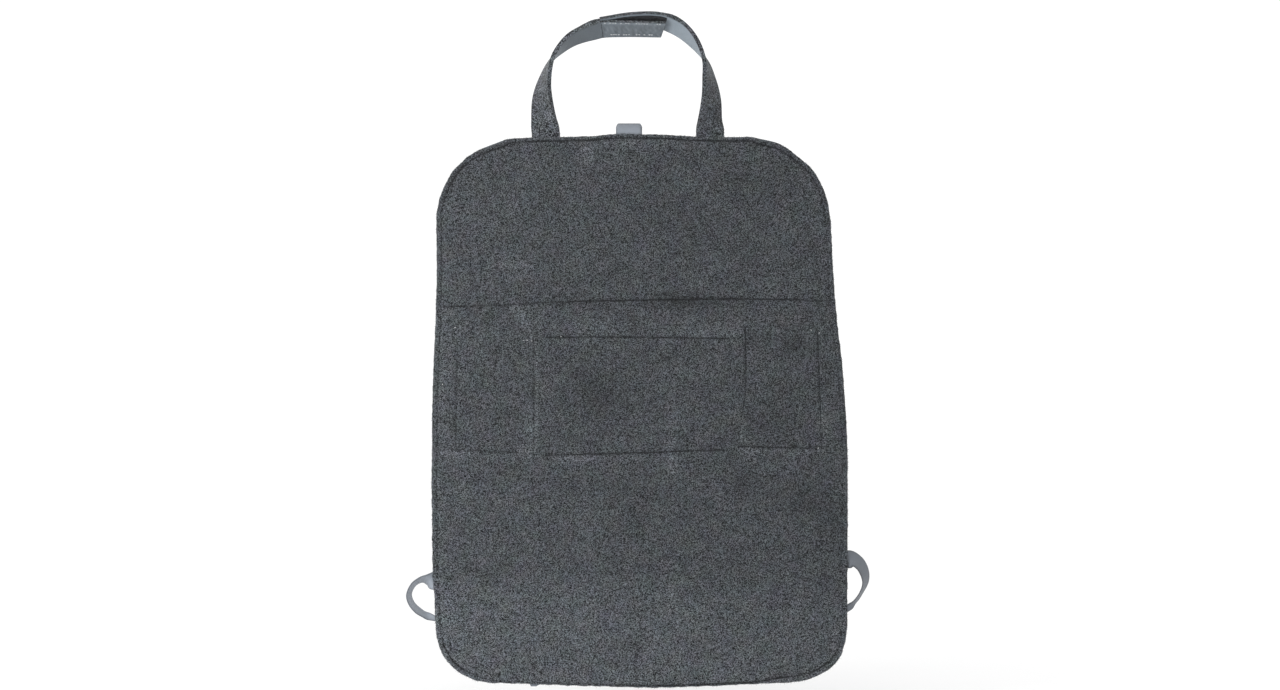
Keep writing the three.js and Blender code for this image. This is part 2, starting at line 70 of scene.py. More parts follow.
# Clearance between sewn layers, the thickness of each cloth and the reach of a hem
LAYER_GAP = 0.0003
FELT_THICKNESS = 0.0025
FRONT_THICKNESS = 0.0016
POCKET_THICKNESS = 0.0014
HEM_THICKNESS = 0.001
HEM_LEAF = 0.011
HEM_MARGIN = 0.002
FRONT_BASE = FELT_THICKNESS + LAYER_GAP
POCKET_BASE = FRONT_BASE + FRONT_THICKNESS + LAYER_GAP

# Directions out of the felt face and out of the pockets
TOWARDS_SEAT = (0.0, -1.0, 0.0)
TOWARDS_POCKETS = (0.0, 1.0, 0.0)


class Slot(Enum):
    """Material slots of the organizer."""

    FELT = "felt"
    LINING = "lining"
    TAPE = "tape"
    BINDING = "binding"
    HOOK_AND_LOOP = "hook_and_loop"
    THREAD = "thread"


class Hold(Enum):
    """How a cloth is held."""

    HUNG = "hung"
    STRETCHED = "stretched"
    GATHERED = "gathered"


# Lines, curves and swells


def smooth(value: Array) -> Array:
    """Smooth step of a value from 0 to 1."""
    t = np.clip(value, 0.0, 1.0)
    return t * t * (3.0 - 2.0 * t)


def bell(distance: Array, width: float) -> Array:
    """Bell curve of a distance, with its width at one deviation."""
    return np.exp(-0.5 * (np.asarray(distance) / width) ** 2)


def unit(vectors: Array) -> Array:
    """Vectors scaled to a length of one."""
    return vectors / np.maximum(np.linalg.norm(vectors, axis=-1, keepdims=True), 1e-12)


def run_lengths(points: Array) -> Array:
    """Distance along a line at each of its points."""
    legs = np.linalg.norm(np.diff(points, axis=0), axis=1)
    return np.concatenate([[0.0], np.cumsum(legs)])


def resample(points: Array, spacing: float) -> Array:
    """Even steps along a line of points.

    Args:
        points: the line's points, a row each, with their place in the first two columns.
        spacing: the wanted step.

    Returns:
        Points at even steps, with every column carried along.
    """
    length = run_lengths(points[:, :2])
    count = max(2, int(round(length[-1] / spacing)) + 1)
    places = np.linspace(0.0, length[-1], count)
    return np.stack([np.interp(places, length, column) for column in points.T], axis=1)


def spline(points: Sequence[Sequence[float]], spacing: float, closed: bool = False) -> Array:
    """Smooth line through points at even steps.

    Args:
        points: stations with a place in their first two columns.
        spacing: the wanted step.
        closed: whether the line returns to its start.

    Returns:
        Points along the line, without the repeated last one where it is closed.
    """
    p = np.asarray(points, float)
    if closed:
        p = np.vstack([p[-1:], p, p[:2]])
    else:
        p = np.vstack([2 * p[:1] - p[1:2], p, 2 * p[-1:] - p[-2:-1]])
    knots = np.sqrt(np.maximum(np.linalg.norm(np.diff(p[:, :2], axis=0), axis=1), 1e-9))
    pieces = []
    for i in range(1, len(p) - 2):
        t0, t1, t2, t3 = np.concatenate([[0.0], np.cumsum(knots[i - 1 : i + 2])])
        t = np.linspace(t1, t2, 25)[:-1, None]
        a1 = (t1 - t) / (t1 - t0) * p[i - 1] + (t - t0) / (t1 - t0) * p[i]
        a2 = (t2 - t) / (t2 - t1) * p[i] + (t - t1) / (t2 - t1) * p[i + 1]
        a3 = (t3 - t) / (t3 - t2) * p[i + 1] + (t - t2) / (t3 - t2) * p[i + 2]
        b1 = (t2 - t) / (t2 - t0) * a1 + (t - t0) / (t2 - t0) * a2
        b2 = (t3 - t) / (t3 - t1) * a2 + (t - t1) / (t3 - t1) * a3
        pieces.append((t2 - t) / (t2 - t1) * b1 + (t - t1) / (t2 - t1) * b2)
    line = np.vstack(pieces + [p[-2:-1]])
    line = resample(line, spacing)
    return line[:-1] if closed else line


@dataclass(frozen=True)
class Waves:
    """Soft swell of a cloth: a seeded sum of waves of about one length."""

    length: float
    height: float
    seed: int
    count: int = 28

    def at(self, x: Array, z: Array) -> Array:
        """Height of the swell.

        Args:
            x: places across.
            z: places up, of the same shape.

        Returns:
            The height at each place.
        """
        rng = np.random.default_rng(self.seed)
        total = np.zeros(np.shape(x))
        for _ in range(self.count):
            angle, phase = rng.uniform(0.0, 2.0 * math.pi, 2)
            wave = 2.0 * math.pi / (self.length * rng.uniform(0.7, 1.5))
            total += np.cos((x * math.cos(angle) + z * math.sin(angle)) * wave + phase)
        return self.height * total * math.sqrt(2.0 / self.count)


# Meshes


@dataclass
class Shell:
    """A mesh in the making.

    Attributes:
        vertices: a row for each vertex.
        faces: arrays of faces, each with faces of one size.
        values: surface values at the vertices, by name.
        sides: material index of each array of faces.
    """

    vertices: Array
    faces: list[Array]
    values: dict[str, Array] = field(default_factory=dict)
    sides: list[int] = field(default_factory=list)

    def joined(self, other: "Shell") -> "Shell":
        """This mesh and another as one.

        Args:
            other: the mesh to add.

        Returns:
            A mesh with the faces of both.
        """
        vertices = np.vstack([self.vertices, other.vertices])
        faces = self.faces + [group + len(self.vertices) for group in other.faces]
        values = {}
        for name in set(self.values) | set(other.values):
            blank = [np.zeros(len(shell.vertices)) for shell in (self, other)]
            both = [self.values.get(name, blank[0]), other.values.get(name, blank[1])]
            values[name] = np.concatenate(both)
        sides = [shell.sides or [0] * len(shell.faces) for shell in (self, other)]
        return Shell(vertices, faces, values, sides[0] + sides[1])

    def piece(self, name: str, materials: Sequence[Material], sharp: float = 50.0) -> Piece:
        """The finished object.

        Args:
            name: the piece's name.
            materials: a material for each side.
            sharp: the angle in degrees past which an edge stays sharp.

        Returns:
            The object, linked to the scene.
        """
        mesh = bpy.data.meshes.new(name)
        faces = [face for group in self.faces for face in group.tolist()]
        mesh.from_pydata(self.vertices.tolist(), [], faces)
        for material in materials:
            mesh.materials.append(material)
        if self.sides:
            counts = [len(group) for group in self.faces]
            mesh.polygons.foreach_set("material_index", np.repeat(self.sides, counts).astype("i"))
        mesh.polygons.foreach_set("use_smooth", np.ones(len(faces), bool))
        for value_name, values in self.values.items():
            layer = mesh.attributes.new(value_name, "FLOAT", "POINT")
            layer.data.foreach_set("value", values.astype("f"))
        mesh.update()
        mesh.set_sharp_from_angle(angle=math.radians(sharp))
        piece = bpy.data.objects.new(name, mesh)
        bpy.context.scene.collection.objects.link(piece)
        return piece


def thicken(
    grid: Array,
    thickness: float,
    soften: float = 0.55,
    rim: float = 0.0011,
    loft: Union[float, Array] = 0.0,
) -> Shell:
    """Closed cloth of even thickness about a grid of points.

    Args:
        grid: points by row and column.
        thickness: the cloth's thickness.
        soften: share of the thickness that is left at the border.
        rim: how far the painted shade of the border reaches in.
        loft: how much thicker each row is.

    Returns:
        The cloth, with its outer face first, its inner face second and its rim last.
    """
    rows, columns, _ = grid.shape
    along = np.gradient(grid, axis=0)
    across = np.gradient(grid, axis=1)
    normal = unit(np.cross(across, along))
    half = np.full((rows, columns), thickness / 2.0) + np.reshape(loft, (-1, 1)) / 2.0
    half[[0, -1], :] *= soften
    half[:, [0, -1]] *= soften
    offset = normal * half[..., None]
    vertices = np.vstack([(grid + offset).reshape(-1, 3), (grid - offset).reshape(-1, 3)])
    total = rows * columns
    index = np.arange(total).reshape(rows, columns)
    corners = [index[:-1, :-1], index[:-1, 1:], index[1:, 1:], index[1:, :-1]]
    outer = np.stack([corner.ravel() for corner in corners], axis=1)
    loop = np.concatenate([index[0, :-1], index[:-1, -1], index[-1, :0:-1], index[:0:-1, 0]])
    following = np.roll(loop, -1)
    border = np.stack([following, loop, loop + total, following + total], axis=1)
    row_step = np.linalg.norm(along, axis=2)
    column_step = np.linalg.norm(across, axis=2)
    along_line = np.cumsum(row_step, axis=0) - row_step[:1]
    across_line = np.cumsum(column_step, axis=1) - column_step[:, :1]
    edge = np.minimum(across_line, across_line[:, -1:] - across_line)
    values = {"along": along_line, "across": across_line, "rim": bell(edge, rim)}
    doubled = {name: np.tile(value.ravel(), 2) for name, value in values.items()}
    return Shell(vertices, [outer, outer[:, ::-1] + total, border], doubled, [0, 0, 0])


def thin_out(points: Array, nearest: float, kept: int) -> Array:
    """Points without those that lie too near an earlier one.

    Args:
        points: the points, the more important first.
        nearest: the smallest distance that is allowed.
        kept: how many of the first points stay whatever their distance.

    Returns:
        The points that stay.
    """
    cells: dict[tuple[int, int], list[int]] = {}
    stay = []
    for number, (x, z) in enumerate(points.tolist()):
        home = (int(x // nearest), int(z // nearest))
        near = (
            other
            for i in (-1, 0, 1)
            for j in (-1, 0, 1)
            for other in cells.get((home[0] + i, home[1] + j), ())
        )
        crowded = any(
            (points[other, 0] - x) ** 2 + (points[other, 1] - z) ** 2 < nearest**2
            for other in near
        )
        if number < kept or not crowded:
            cells.setdefault(home, []).append(number)
            stay.append(number)
    return points[stay]


def inside(loop: Array, points: Array) -> Array:
    """Which points lie inside a closed loop.

    Args:
        loop: the loop's points in X and Z.
        points: the points to test.

    Returns:
        True for each point inside.
    """
    result = np.zeros(len(points), bool)
    x, z = points[:, 0], points[:, 1]
    for (x0, z0), (x1, z1) in zip(loop, np.roll(loop, -1, axis=0)):
        crosses = (z0 > z) != (z1 > z)
        if crosses.any():
            at = x0 + (z - z0) * (x1 - x0) / (z1 - z0)
            result ^= crosses & (x < at)
    return result


def hexagon_grid(loop: Array, spacing: float) -> Array:
    """Evenly spread points inside a closed loop.

    Args:
        loop: the loop's points in X and Z.
        spacing: distance between neighbours.

    Returns:
        The points inside the loop.
    """
    low, high = loop.min(axis=0), loop.max(axis=0)
    levels = np.arange(low[1], high[1], spacing * math.sqrt(0.75))
    columns = np.arange(low[0] - spacing, high[0], spacing)
    shift = (np.arange(len(levels)) % 2)[:, None] * spacing / 2.0
    x = columns[None, :] + shift
    z = np.repeat(levels[:, None], len(columns), axis=1)
    points = np.stack([x.ravel(), z.ravel()], axis=1)
    return points[inside(loop, points)]


def offset_loop(loop: Array, inset: Union[float, Array]) -> Array:
    """A closed loop drawn in.

    Args:
        loop: points in turn against the clock.
        inset: how far each point moves in.

    Returns:
        The moved points.
    """
    tangent = unit(np.roll(loop, -1, axis=0) - np.roll(loop, 1, axis=0))
    outward = np.stack([tangent[:, 1], -tangent[:, 0]], axis=1)
    return loop - outward * np.reshape(inset, (-1, 1))


@dataclass(frozen=True)
class Cut:
    """Triangles of one face of a sheet, with the points of its border and hole by number."""

    corners: Array
    faces: Array
    border: Array
    hole: Array

    @staticmethod
    def of(loop: Array, points: Array, hole: Optional[Array] = None) -> "Cut":
        """Cut a face to a closed loop.

        Args:
            loop: the border's points in X and Z, against the clock.
            points: the points inside it.
            hole: a hole's points, with the clock.

        Returns:
            The face.
        """
        opening = np.zeros((0, 2)) if hole is None else hole
        flat = [Vector(point) for point in np.vstack([loop, opening, points]).tolist()]
        edges = []
        for first, ring in ((0, loop), (len(loop), opening)):
            edges += [(first + i, first + (i + 1) % len(ring)) for i in range(len(ring))]
        places, _, faces, origins, *_ = delaunay_2d_cdt(flat, edges, [], 0, 1e-9, True)
        corners, triangles = np.array(places), np.array(faces)
        centres = corners[triangles].mean(axis=1)
        kept = inside(loop, centres)
        if len(opening):
            kept &= ~inside(opening, centres)
        place = {origin: number for number, group in enumerate(origins) for origin in group}
        numbers = np.array([place[i] for i in range(len(loop) + len(opening))])
        return Cut(corners, triangles[kept], numbers[: len(loop)], numbers[len(loop) :])


def sheet_shell(near_cut: Cut, near: Array, far_cut: Cut, far: Array) -> Shell:
    """Closed cloth from its two faces, whose borders have the same points.

    Args:
        near_cut: triangles of the face towards the seat.
        near: depth of that face.
        far_cut: triangles of the face towards the pockets.
        far: depth of that face.

    Returns:
        The cloth, with its near face first, its far face second and its rim last.
    """
    total = len(near_cut.corners)
    faces = []
    for cut, depth in ((near_cut, near), (far_cut, far)):
        faces.append(np.stack([cut.corners[:, 0], depth, cut.corners[:, 1]], axis=1))
    rims = []
    for front, back in ((near_cut.border, far_cut.border), (near_cut.hole, far_cut.hole)):
        if len(front):
            after, beyond = np.roll(front, -1), np.roll(back, -1)
            rims.append(np.stack([front, back + total, beyond + total, after], axis=1))
    sides = [near_cut.faces, far_cut.faces[:, ::-1] + total, np.vstack(rims)]
    return Shell(np.vstack(faces), sides, {}, [0, 0, 0])


def even_sheet(cut: Cut, near: Array, thickness: float, soften: float = 0.0) -> Shell:
    """Closed cloth of even thickness with the same triangles on both faces.

    Args:
        cut: the triangles.
        near: depth of the face towards the seat.
        thickness: the cloth's thickness.
        soften: how much each face draws in at the border.

    Returns:
        The cloth, with its border marked as its rim.
    """
    edge = np.zeros(len(near))
    edge[cut.border] = 1.0
    soft = soften * edge
    shell = sheet_shell(cut, near + soft, cut, near + thickness - soft)
    shell.values = {"rim": np.tile(edge, 2)}
    return shell


# Shader nodes


class Graph:
    """Nodes of a material or of a group, made and joined by name."""

    def __init__(self, tree: Group) -> None:
        """Start on an empty tree."""
        self.tree = tree
        tree.nodes.clear()

    def feed(self, socket: Socket, value: Value) -> None:
        """Join a socket to another one, or set its value."""
        if isinstance(value, Socket):
            self.tree.links.new(value, socket)
        else:
            socket.default_value = value

    def add(
        self, kind: str, inputs: Optional[dict[Union[str, int], Value]] = None, **settings: object
    ) -> Node:
        """Add a node.

        Args:
            kind: the node's type.
            inputs: what feeds each of its inputs.
            settings: its other settings.

        Returns:
            The node.
        """
        node = self.tree.nodes.new(kind)
        for name, setting in settings.items():
            setattr(node, name, setting)
        for name, value in (inputs or {}).items():
            self.feed(node.inputs[name], value)
        return node

    def math(self, operation: str, first: Value, second: Value = 0.0) -> Socket:
        """Result of a sum on two values."""
        return self.add("ShaderNodeMath", {0: first, 1: second}, operation=operation).outputs[0]

    def scaled(self, colour: Value, amount: Value) -> Socket:
        """A colour made lighter or darker by an amount."""
        inputs = {0: colour, "Scale": amount}
        return self.add("ShaderNodeVectorMath", inputs, operation="SCALE").outputs[0]

    def vector(self, operation: str, first: Value, second: Value) -> Socket:
        """Result of a sum on two colours."""
        inputs = {0: first, 1: second}
        return self.add("ShaderNodeVectorMath", inputs, operation=operation).outputs[0]

    def place(self) -> Socket:
        """Place on the object, in metres."""
        return self.add("ShaderNodeTexCoord").outputs["Object"]

    def surface_value(self, name: str) -> Socket:
        """A value that the mesh carries."""
        return self.add("ShaderNodeAttribute", attribute_name=name).outputs["Fac"]

    def noise(
        self, size: Value, detail: float, rough: float = 0.55, output: str = "Fac"
    ) -> Socket:
        """Noise with spots of a size in metres."""
        scale = self.math("DIVIDE", 1.0, size)
        inputs = {"Vector": self.place(), "Scale": scale, "Detail": detail, "Roughness": rough}
        return self.add("ShaderNodeTexNoise", inputs).outputs[output]

    def cells(self, scale: Value, **settings: object) -> Node:
        """Cells of random place, as many to a metre as the scale."""
        inputs = {"Vector": self.place(), "Scale": scale}
        return self.add("ShaderNodeTexVoronoi", inputs, **settings)

    def drawn(self, cells: Node) -> Socket:
        """A random value for each cell."""
        return self.add("ShaderNodeSeparateColor", {0: cells.outputs["Color"]}).outputs[0]

    def centred(self, value: Value, amount: Value, middle: float = 0.0) -> Socket:
        """A value about a half, spread by an amount about another middle."""
        spread = self.math("MULTIPLY", self.math("SUBTRACT", value, 0.5), amount)
        return self.math("ADD", spread, middle)


class Effect(Graph):
    """A node group that several finishes share."""

    def __init__(
        self,
        name: str,
        inputs: dict[str, float],
        outputs: Sequence[str],
        colours: Sequence[str] = (),
    ) -> None:
        """Make the group's sockets.

        Args:
            name: the group's name.
            inputs: its inputs with their usual values.
            outputs: its outputs.
            colours: the names of those that hold a colour.
        """
        super().__init__(bpy.data.node_groups.new(name, "ShaderNodeTree"))
        for way, names in (("INPUT", inputs), ("OUTPUT", outputs)):
            for label in names:
                kind = "NodeSocketColor" if label in colours else "NodeSocketFloat"
                socket = self.tree.interface.new_socket(name=label, in_out=way, socket_type=kind)
                if way == "INPUT" and label not in colours:
                    socket.default_value = inputs[label]
        self.source = self.add("NodeGroupInput").outputs
        self.result = self.add("NodeGroupOutput").inputs

    def put(self, name: str, value: Value) -> None:
        """Join an output of the group."""
        self.feed(self.result[name], value)


def grain_effect() -> Group:
    """Salt and pepper grain of a short pile.

    Returns:
        A group with the grain as a tone about 1 and as a height.
    """
    inputs = {"Size": 0.001, "Contrast": 1.0, "Coarse": 0.08}
    graph = Effect("Salt and pepper grain", inputs, ["Tone", "Height"])
    source = graph.source
    fine = graph.noise(source["Size"], 1.0, 0.5)
    wide = graph.noise(graph.math("MULTIPLY", source["Size"], 2.6), 1.0)
    tuft = graph.drawn(graph.cells(graph.math("DIVIDE", 1.0, source["Size"])))
    crumb = graph.math("ADD", graph.centred(fine, 1.6), graph.centred(tuft, 1.7))
    coarse = graph.centred(wide, graph.math("MULTIPLY", source["Coarse"], 3.0))
    mixed = graph.math("ADD", crumb, coarse)
    tone = graph.math("ADD", graph.math("MULTIPLY", mixed, source["Contrast"]), 1.0)
    graph.put("Tone", graph.math("MINIMUM", graph.math("MAXIMUM", tone, 0.08), 3.4))
    graph.put("Height", graph.math("ADD", graph.math("MULTIPLY", mixed, 0.4), 0.5))
    return graph.tree


def patch_effect() -> Group:
    """Cloudy lighter and darker patches, with small light bits of lint.

    Returns:
        A group with the patches as a tone about 1 and the lint as a mask.
    """
    inputs = {"Size": 0.03, "Strength": 0.1, "Lint": 0.02}
    graph = Effect("Cloudy patches", inputs, ["Tone", "Lint"])
    source = graph.source
    cloud = graph.noise(source["Size"], 3.0, 0.6)
    small = graph.noise(graph.math("MULTIPLY", source["Size"], 0.28), 2.0)
    both = graph.math("ADD", graph.centred(cloud, 1.5), graph.centred(small, 1.3))
    tone = graph.math("MULTIPLY", both, graph.math("MULTIPLY", source["Strength"], 2.0))
    graph.put("Tone", graph.math("ADD", tone, 1.0))
    speck = graph.cells(420.0)
    rare = graph.math("LESS_THAN", graph.drawn(speck), source["Lint"])
    near = graph.math("LESS_THAN", speck.outputs["Distance"], 0.22)
    graph.put("Lint", graph.math("MULTIPLY", rare, near))
    return graph.tree


def dye_effect() -> Group:
    """Base colour of a cloth with its tones and faint changes of hue.

    Returns:
        A group with the dyed colour.
    """
    inputs = {"Colour": 0.0, "Tone": 1.0, "Hue spots": 0.06}
    graph = Effect("Dyed colour", inputs, ["Colour"], ["Colour"])
    source = graph.source
    spots = graph.noise(0.017, 2.0, output="Color")
    about = graph.vector("SUBTRACT", spots, (0.5, 0.5, 0.5))
    spread = graph.scaled(about, source["Hue spots"])
    hued = graph.vector("MULTIPLY", source["Colour"], graph.vector("ADD", spread, (1.0, 1.0, 1.0)))
    graph.put("Colour", graph.scaled(hued, source["Tone"]))
    return graph.tree


def painted_edge_shade_effect() -> Group:
    """Painted shade along cut edges and borders, uneven along their length.

    Returns:
        A group with the painted edge shade as a tone about 1 and as a mask.
    """
    inputs = {"Darkening": 0.5, "Wear": 0.2}
    graph = Effect("Edge wear", inputs, ["Tone", "Mask"])
    source = graph.source
    rim = graph.surface_value("rim")
    uneven = graph.centred(graph.noise(0.004, 2.0), source["Wear"], 1.0)
    mask = graph.math("MULTIPLY", rim, uneven)
    graph.put("Mask", mask)
    # Painted shade: the border darkens by the rim mask, unevenly along it.
    loss = graph.math("MULTIPLY", mask, source["Darkening"])
    graph.put("Tone", graph.math("SUBTRACT", 1.0, loss))
    return graph.tree


def weave_effect() -> Group:
    """Fine weave of a tape: ribs across it and warp threads along it.

    Returns:
        A group with the weave as a tone about 1 and as a height.
    """
    inputs = {"Rib": 0.001, "Warp": 0.0007, "Depth": 0.2}
    graph = Effect("Tape weave", inputs, ["Tone", "Height"])
    source = graph.source
    bands = []
    for value, size in (("along", "Rib"), ("across", "Warp")):
        turns = graph.math("DIVIDE", graph.surface_value(value), source[size])
        bands.append(graph.math("SINE", graph.math("MULTIPLY", turns, 2.0 * math.pi)))
    crossed = graph.math("MULTIPLY", bands[0], bands[1])
    ribs = graph.math("ADD", graph.math("MULTIPLY", bands[0], 0.6), crossed)
    height = graph.math("ADD", graph.math("MULTIPLY", ribs, 0.3), 0.5)
    graph.put("Height", height)
    graph.put("Tone", graph.centred(height, source["Depth"], 1.0))
    return graph.tree


def pebble_effect() -> Group:
    """Pebbled grain of a leatherette, with finer pores.

    Returns:
        A group with the grain as a tone about 1 and as a height.
    """
    inputs = {"Size": 0.0011, "Depth": 0.25}
    graph = Effect("Pebbled grain", inputs, ["Tone", "Height"])
    source = graph.source
    scale = graph.math("DIVIDE", 1.0, source["Size"])
    edge = graph.cells(scale, feature="DISTANCE_TO_EDGE").outputs["Distance"]
    dome = graph.math("POWER", graph.math("MINIMUM", edge, 0.35), 0.6)
    pores = graph.noise(graph.math("MULTIPLY", source["Size"], 0.35), 2.0)
    height = graph.math("ADD", dome, graph.centred(pores, 0.35))
    graph.put("Height", height)
    graph.put("Tone", graph.centred(height, source["Depth"], 1.0))
    return graph.tree


@dataclass(frozen=True)
class Effects:
    """The shared node groups, built once."""

    grain: Group = field(default_factory=grain_effect)
    patches: Group = field(default_factory=patch_effect)
    dye: Group = field(default_factory=dye_effect)
    edge: Group = field(default_factory=painted_edge_shade_effect)
    weave: Group = field(default_factory=weave_effect)
    pebble: Group = field(default_factory=pebble_effect)


class MaterialGraph(Graph):
    """Nodes of one material about its main shader."""

    def __init__(self, name: str, effects: Effects) -> None:
        """Start a material.

        Args:
            name: the material's name.
            effects: the shared groups.
        """
        self.material = bpy.data.materials.new(name)
        self.material.use_nodes = True
        super().__init__(self.material.node_tree)
        self.effects = effects
        self.shader = self.add("ShaderNodeBsdfPrincipled")
        out = self.add("ShaderNodeOutputMaterial")
        self.tree.links.new(self.shader.outputs[0], out.inputs["Surface"])

    def use(self, group: Group, **values: Value) -> Node:
        """Place a shared group with its own values.

        Args:
            group: the group.
            values: its inputs, with _ for each space in a name.

        Returns:
            The group's node.
        """
        node = self.add("ShaderNodeGroup", node_tree=group)
        for name, value in values.items():
            self.feed(node.inputs[name.replace("_", " ")], value)
        return node

    def nap(self, name: str = "nap") -> Socket:
        """Tone about 1 that the mesh carries, with the painted light and shade put into it."""
        return self.math("ADD", self.surface_value(name), 1.0)

    def dyed(self, colour: Colour, hue_spots: float, *parts: Tone) -> Socket:
        """A colour under its tones.

        Args:
            colour: the plain colour.
            hue_spots: how much its hue changes.
            parts: tones that multiply, and groups that put one out.

        Returns:
            The colour.
        """
        tones = [p.outputs["Tone"] if isinstance(p, Node) else p for p in parts]
        tone = tones[0]
        for other in tones[1:]:
            tone = self.math("MULTIPLY", tone, other)
        node = self.use(self.effects.dye, Colour=(*colour, 1.0), Tone=tone, Hue_spots=hue_spots)
        return node.outputs["Colour"]

    def bump(self, height: Socket, distance: float, strength: float = 1.0) -> None:
        """Raise the surface by a height."""
        inputs = {"Height": height, "Distance": distance, "Strength": strength}
        normal = self.add("ShaderNodeBump", inputs).outputs["Normal"]
        self.feed(self.shader.inputs["Normal"], normal)

    def surface(self, colour: Value, roughness: Value, **constants: float) -> None:
        """Set the shader.

        Args:
            colour: the base colour.
            roughness: the roughness.
            constants: its other inputs, with _ for each space in a name.
        """
        self.feed(self.shader.inputs["Base Color"], colour)
        self.feed(self.shader.inputs["Roughness"], roughness)
        for name, value in constants.items():
            self.shader.inputs[name.replace("_", " ")].default_value = value


@dataclass(frozen=True)
class FeltFinish:
    """Short-pile felt carpet with a salt-and-pepper grain and brushed patches, with painted shade
    in its seam grooves and the painted light that its mesh carries.
    """

    name: str = "dark_grey_felt"
    colour: Colour = (0.0350, 0.0384, 0.0426)
    grain_size: float = 0.0006
    contrast: float = 2.9
    patch_strength: float = 0.1
    seam_shade: float = 0.88
    lint_colour: Colour = (0.16, 0.165, 0.17)

    def material(self, effects: Effects) -> Material:
        """Build the material."""
        graph = MaterialGraph(self.name, effects)
        grain = graph.use(effects.grain, Size=self.grain_size, Contrast=self.contrast)
        cloud = {"Size": 0.034, "Strength": self.patch_strength, "Lint": 0.012}
        patches = graph.use(effects.patches, **cloud)
        edge = graph.use(effects.edge, Darkening=0.05, Wear=0.8)
        # Painted shade: the pile darkens along the seam grooves.
        shade = graph.math("MULTIPLY", graph.surface_value("seam"), self.seam_shade)
        painted_groove_shade = graph.math("SUBTRACT", 1.0, shade)
        colour = graph.dyed(self.colour, 0.24, grain, patches, edge, graph.nap(), painted_groove_shade)
        lint = graph.math("MULTIPLY", patches.outputs["Lint"], 0.75)
        layers = {0: lint, 6: colour, 7: (*self.lint_colour, 1.0)}
        flecked = graph.add("ShaderNodeMix", layers, data_type="RGBA").outputs[2]
        rough = graph.centred(grain.outputs["Height"], -0.1, 0.94)
        sheen = {"Sheen_Weight": 0.12, "Sheen_Roughness": 0.6}
        graph.surface(flecked, rough, Specular_IOR_Level=0.12, **sheen)
        graph.bump(grain.outputs["Height"], 0.0003, 0.7)
        return graph.material


@dataclass(frozen=True)
class LeatheretteFinish:
    """Matt grey leatherette of the front sheet and the pockets."""

    name: str = "slate_leatherette"
    colour: Colour = (0.112, 0.127, 0.145)
    pebble: float = 0.0011
    rough: float = 0.62
    relief: float = 0.00016
    tone: str = "nap"

    def material(self, effects: Effects) -> Material:
        """Build the material."""
        graph = MaterialGraph(self.name, effects)
        pebble = graph.use(effects.pebble, Size=self.pebble, Depth=0.32)
        patches = graph.use(effects.patches, Size=0.05, Strength=0.05, Lint=0.0008)
        edge = graph.use(effects.edge, Darkening=0.3, Wear=0.6)
        colour = graph.dyed(self.colour, 0.03, pebble, patches, edge, graph.nap(self.tone))
        rough = graph.centred(pebble.outputs["Height"], -0.3, self.rough)
        graph.surface(colour, rough, Specular_IOR_Level=0.35)
        graph.bump(pebble.outputs["Height"], self.relief, 0.8)
        return graph.material


@dataclass(frozen=True)
class TapeFinish:
    """Smooth grey tape with a fine weave and painted shade along its edges."""

    name: str = "grey_tape"
    colour: Colour = (0.205, 0.225, 0.255)
    rib: float = 0.0009
    warp: float = 0.0008
    depth: float = 0.1
    edge_shade: float = 0.5
    rough: float = 0.6

    def material(self, effects: Effects) -> Material:
        """Build the material."""
        graph = MaterialGraph(self.name, effects)
        weave = graph.use(effects.weave, Rib=self.rib, Warp=self.warp, Depth=self.depth)
        patches = graph.use(effects.patches, Size=0.016, Strength=0.05, Lint=0.002)
        edge = graph.use(effects.edge, Darkening=self.edge_shade, Wear=0.5)
        colour = graph.dyed(self.colour, 0.04, weave, patches, edge, graph.nap())
        rough = graph.centred(weave.outputs["Height"], -0.2, self.rough)
        graph.surface(colour, rough, Specular_IOR_Level=0.3, Sheen_Weight=0.06)
        graph.bump(weave.outputs["Height"], 0.00008, 0.6)
        return graph.material


@dataclass(frozen=True)
class PileFinish:
    """Hook or loop face: a dense dark nap with fine tufts."""

    name: str = "hook_and_loop"
    colour: Colour = (0.022, 0.024, 0.028)
    tuft: float = 0.0007

    def material(self, effects: Effects) -> Material:
        """Build the material."""
        graph = MaterialGraph(self.name, effects)
        grain = graph.use(effects.grain, Size=self.tuft, Contrast=1.3, Coarse=0.5)
        edge = graph.use(effects.edge, Darkening=0.2, Wear=0.5)
        colour = graph.dyed(self.colour, 0.04, grain, edge)
        rough = graph.centred(grain.outputs["Height"], 0.1, 0.85)
        graph.surface(colour, rough, Specular_IOR_Level=0.2, Sheen_Weight=0.1)
        graph.bump(grain.outputs["Height"], 0.0005, 1.0)
        return graph.material


@dataclass(frozen=True)
class ThreadFinish:
    """Twisted polyester thread."""

    name: str = "dark_thread"
    colour: Colour = (0.009, 0.01, 0.012)

    def material(self, effects: Effects) -> Material:
        """Build the material."""
        graph = MaterialGraph(self.name, effects)
        grain = graph.use(effects.grain, Size=0.0005, Contrast=0.5)
        colour = graph.dyed(self.colour, 0.02, grain)
        rough = graph.centred(grain.outputs["Height"], -0.2, 0.6)
        graph.surface(colour, rough, Specular_IOR_Level=0.25)
        graph.bump(grain.outputs["Height"], 0.0001, 0.7)
        return graph.material


@dataclass(frozen=True)
class FibreFinish:
    """Loose fibres at the felt's cut edges."""

    name: str = "felt_fibres"
    colour: Colour = (0.062, 0.067, 0.073)

    def material(self, effects: Effects) -> Material:
        """Build the material."""
        graph = MaterialGraph(self.name, effects)
        patches = graph.use(effects.patches, Size=0.003, Strength=0.35, Lint=0.0)
        colour = graph.dyed(self.colour, 0.05, patches)
        rough = graph.centred(patches.outputs["Tone"], 0.1, 0.85)
        graph.surface(colour, rough, Specular_IOR_Level=0.1)
        return graph.material


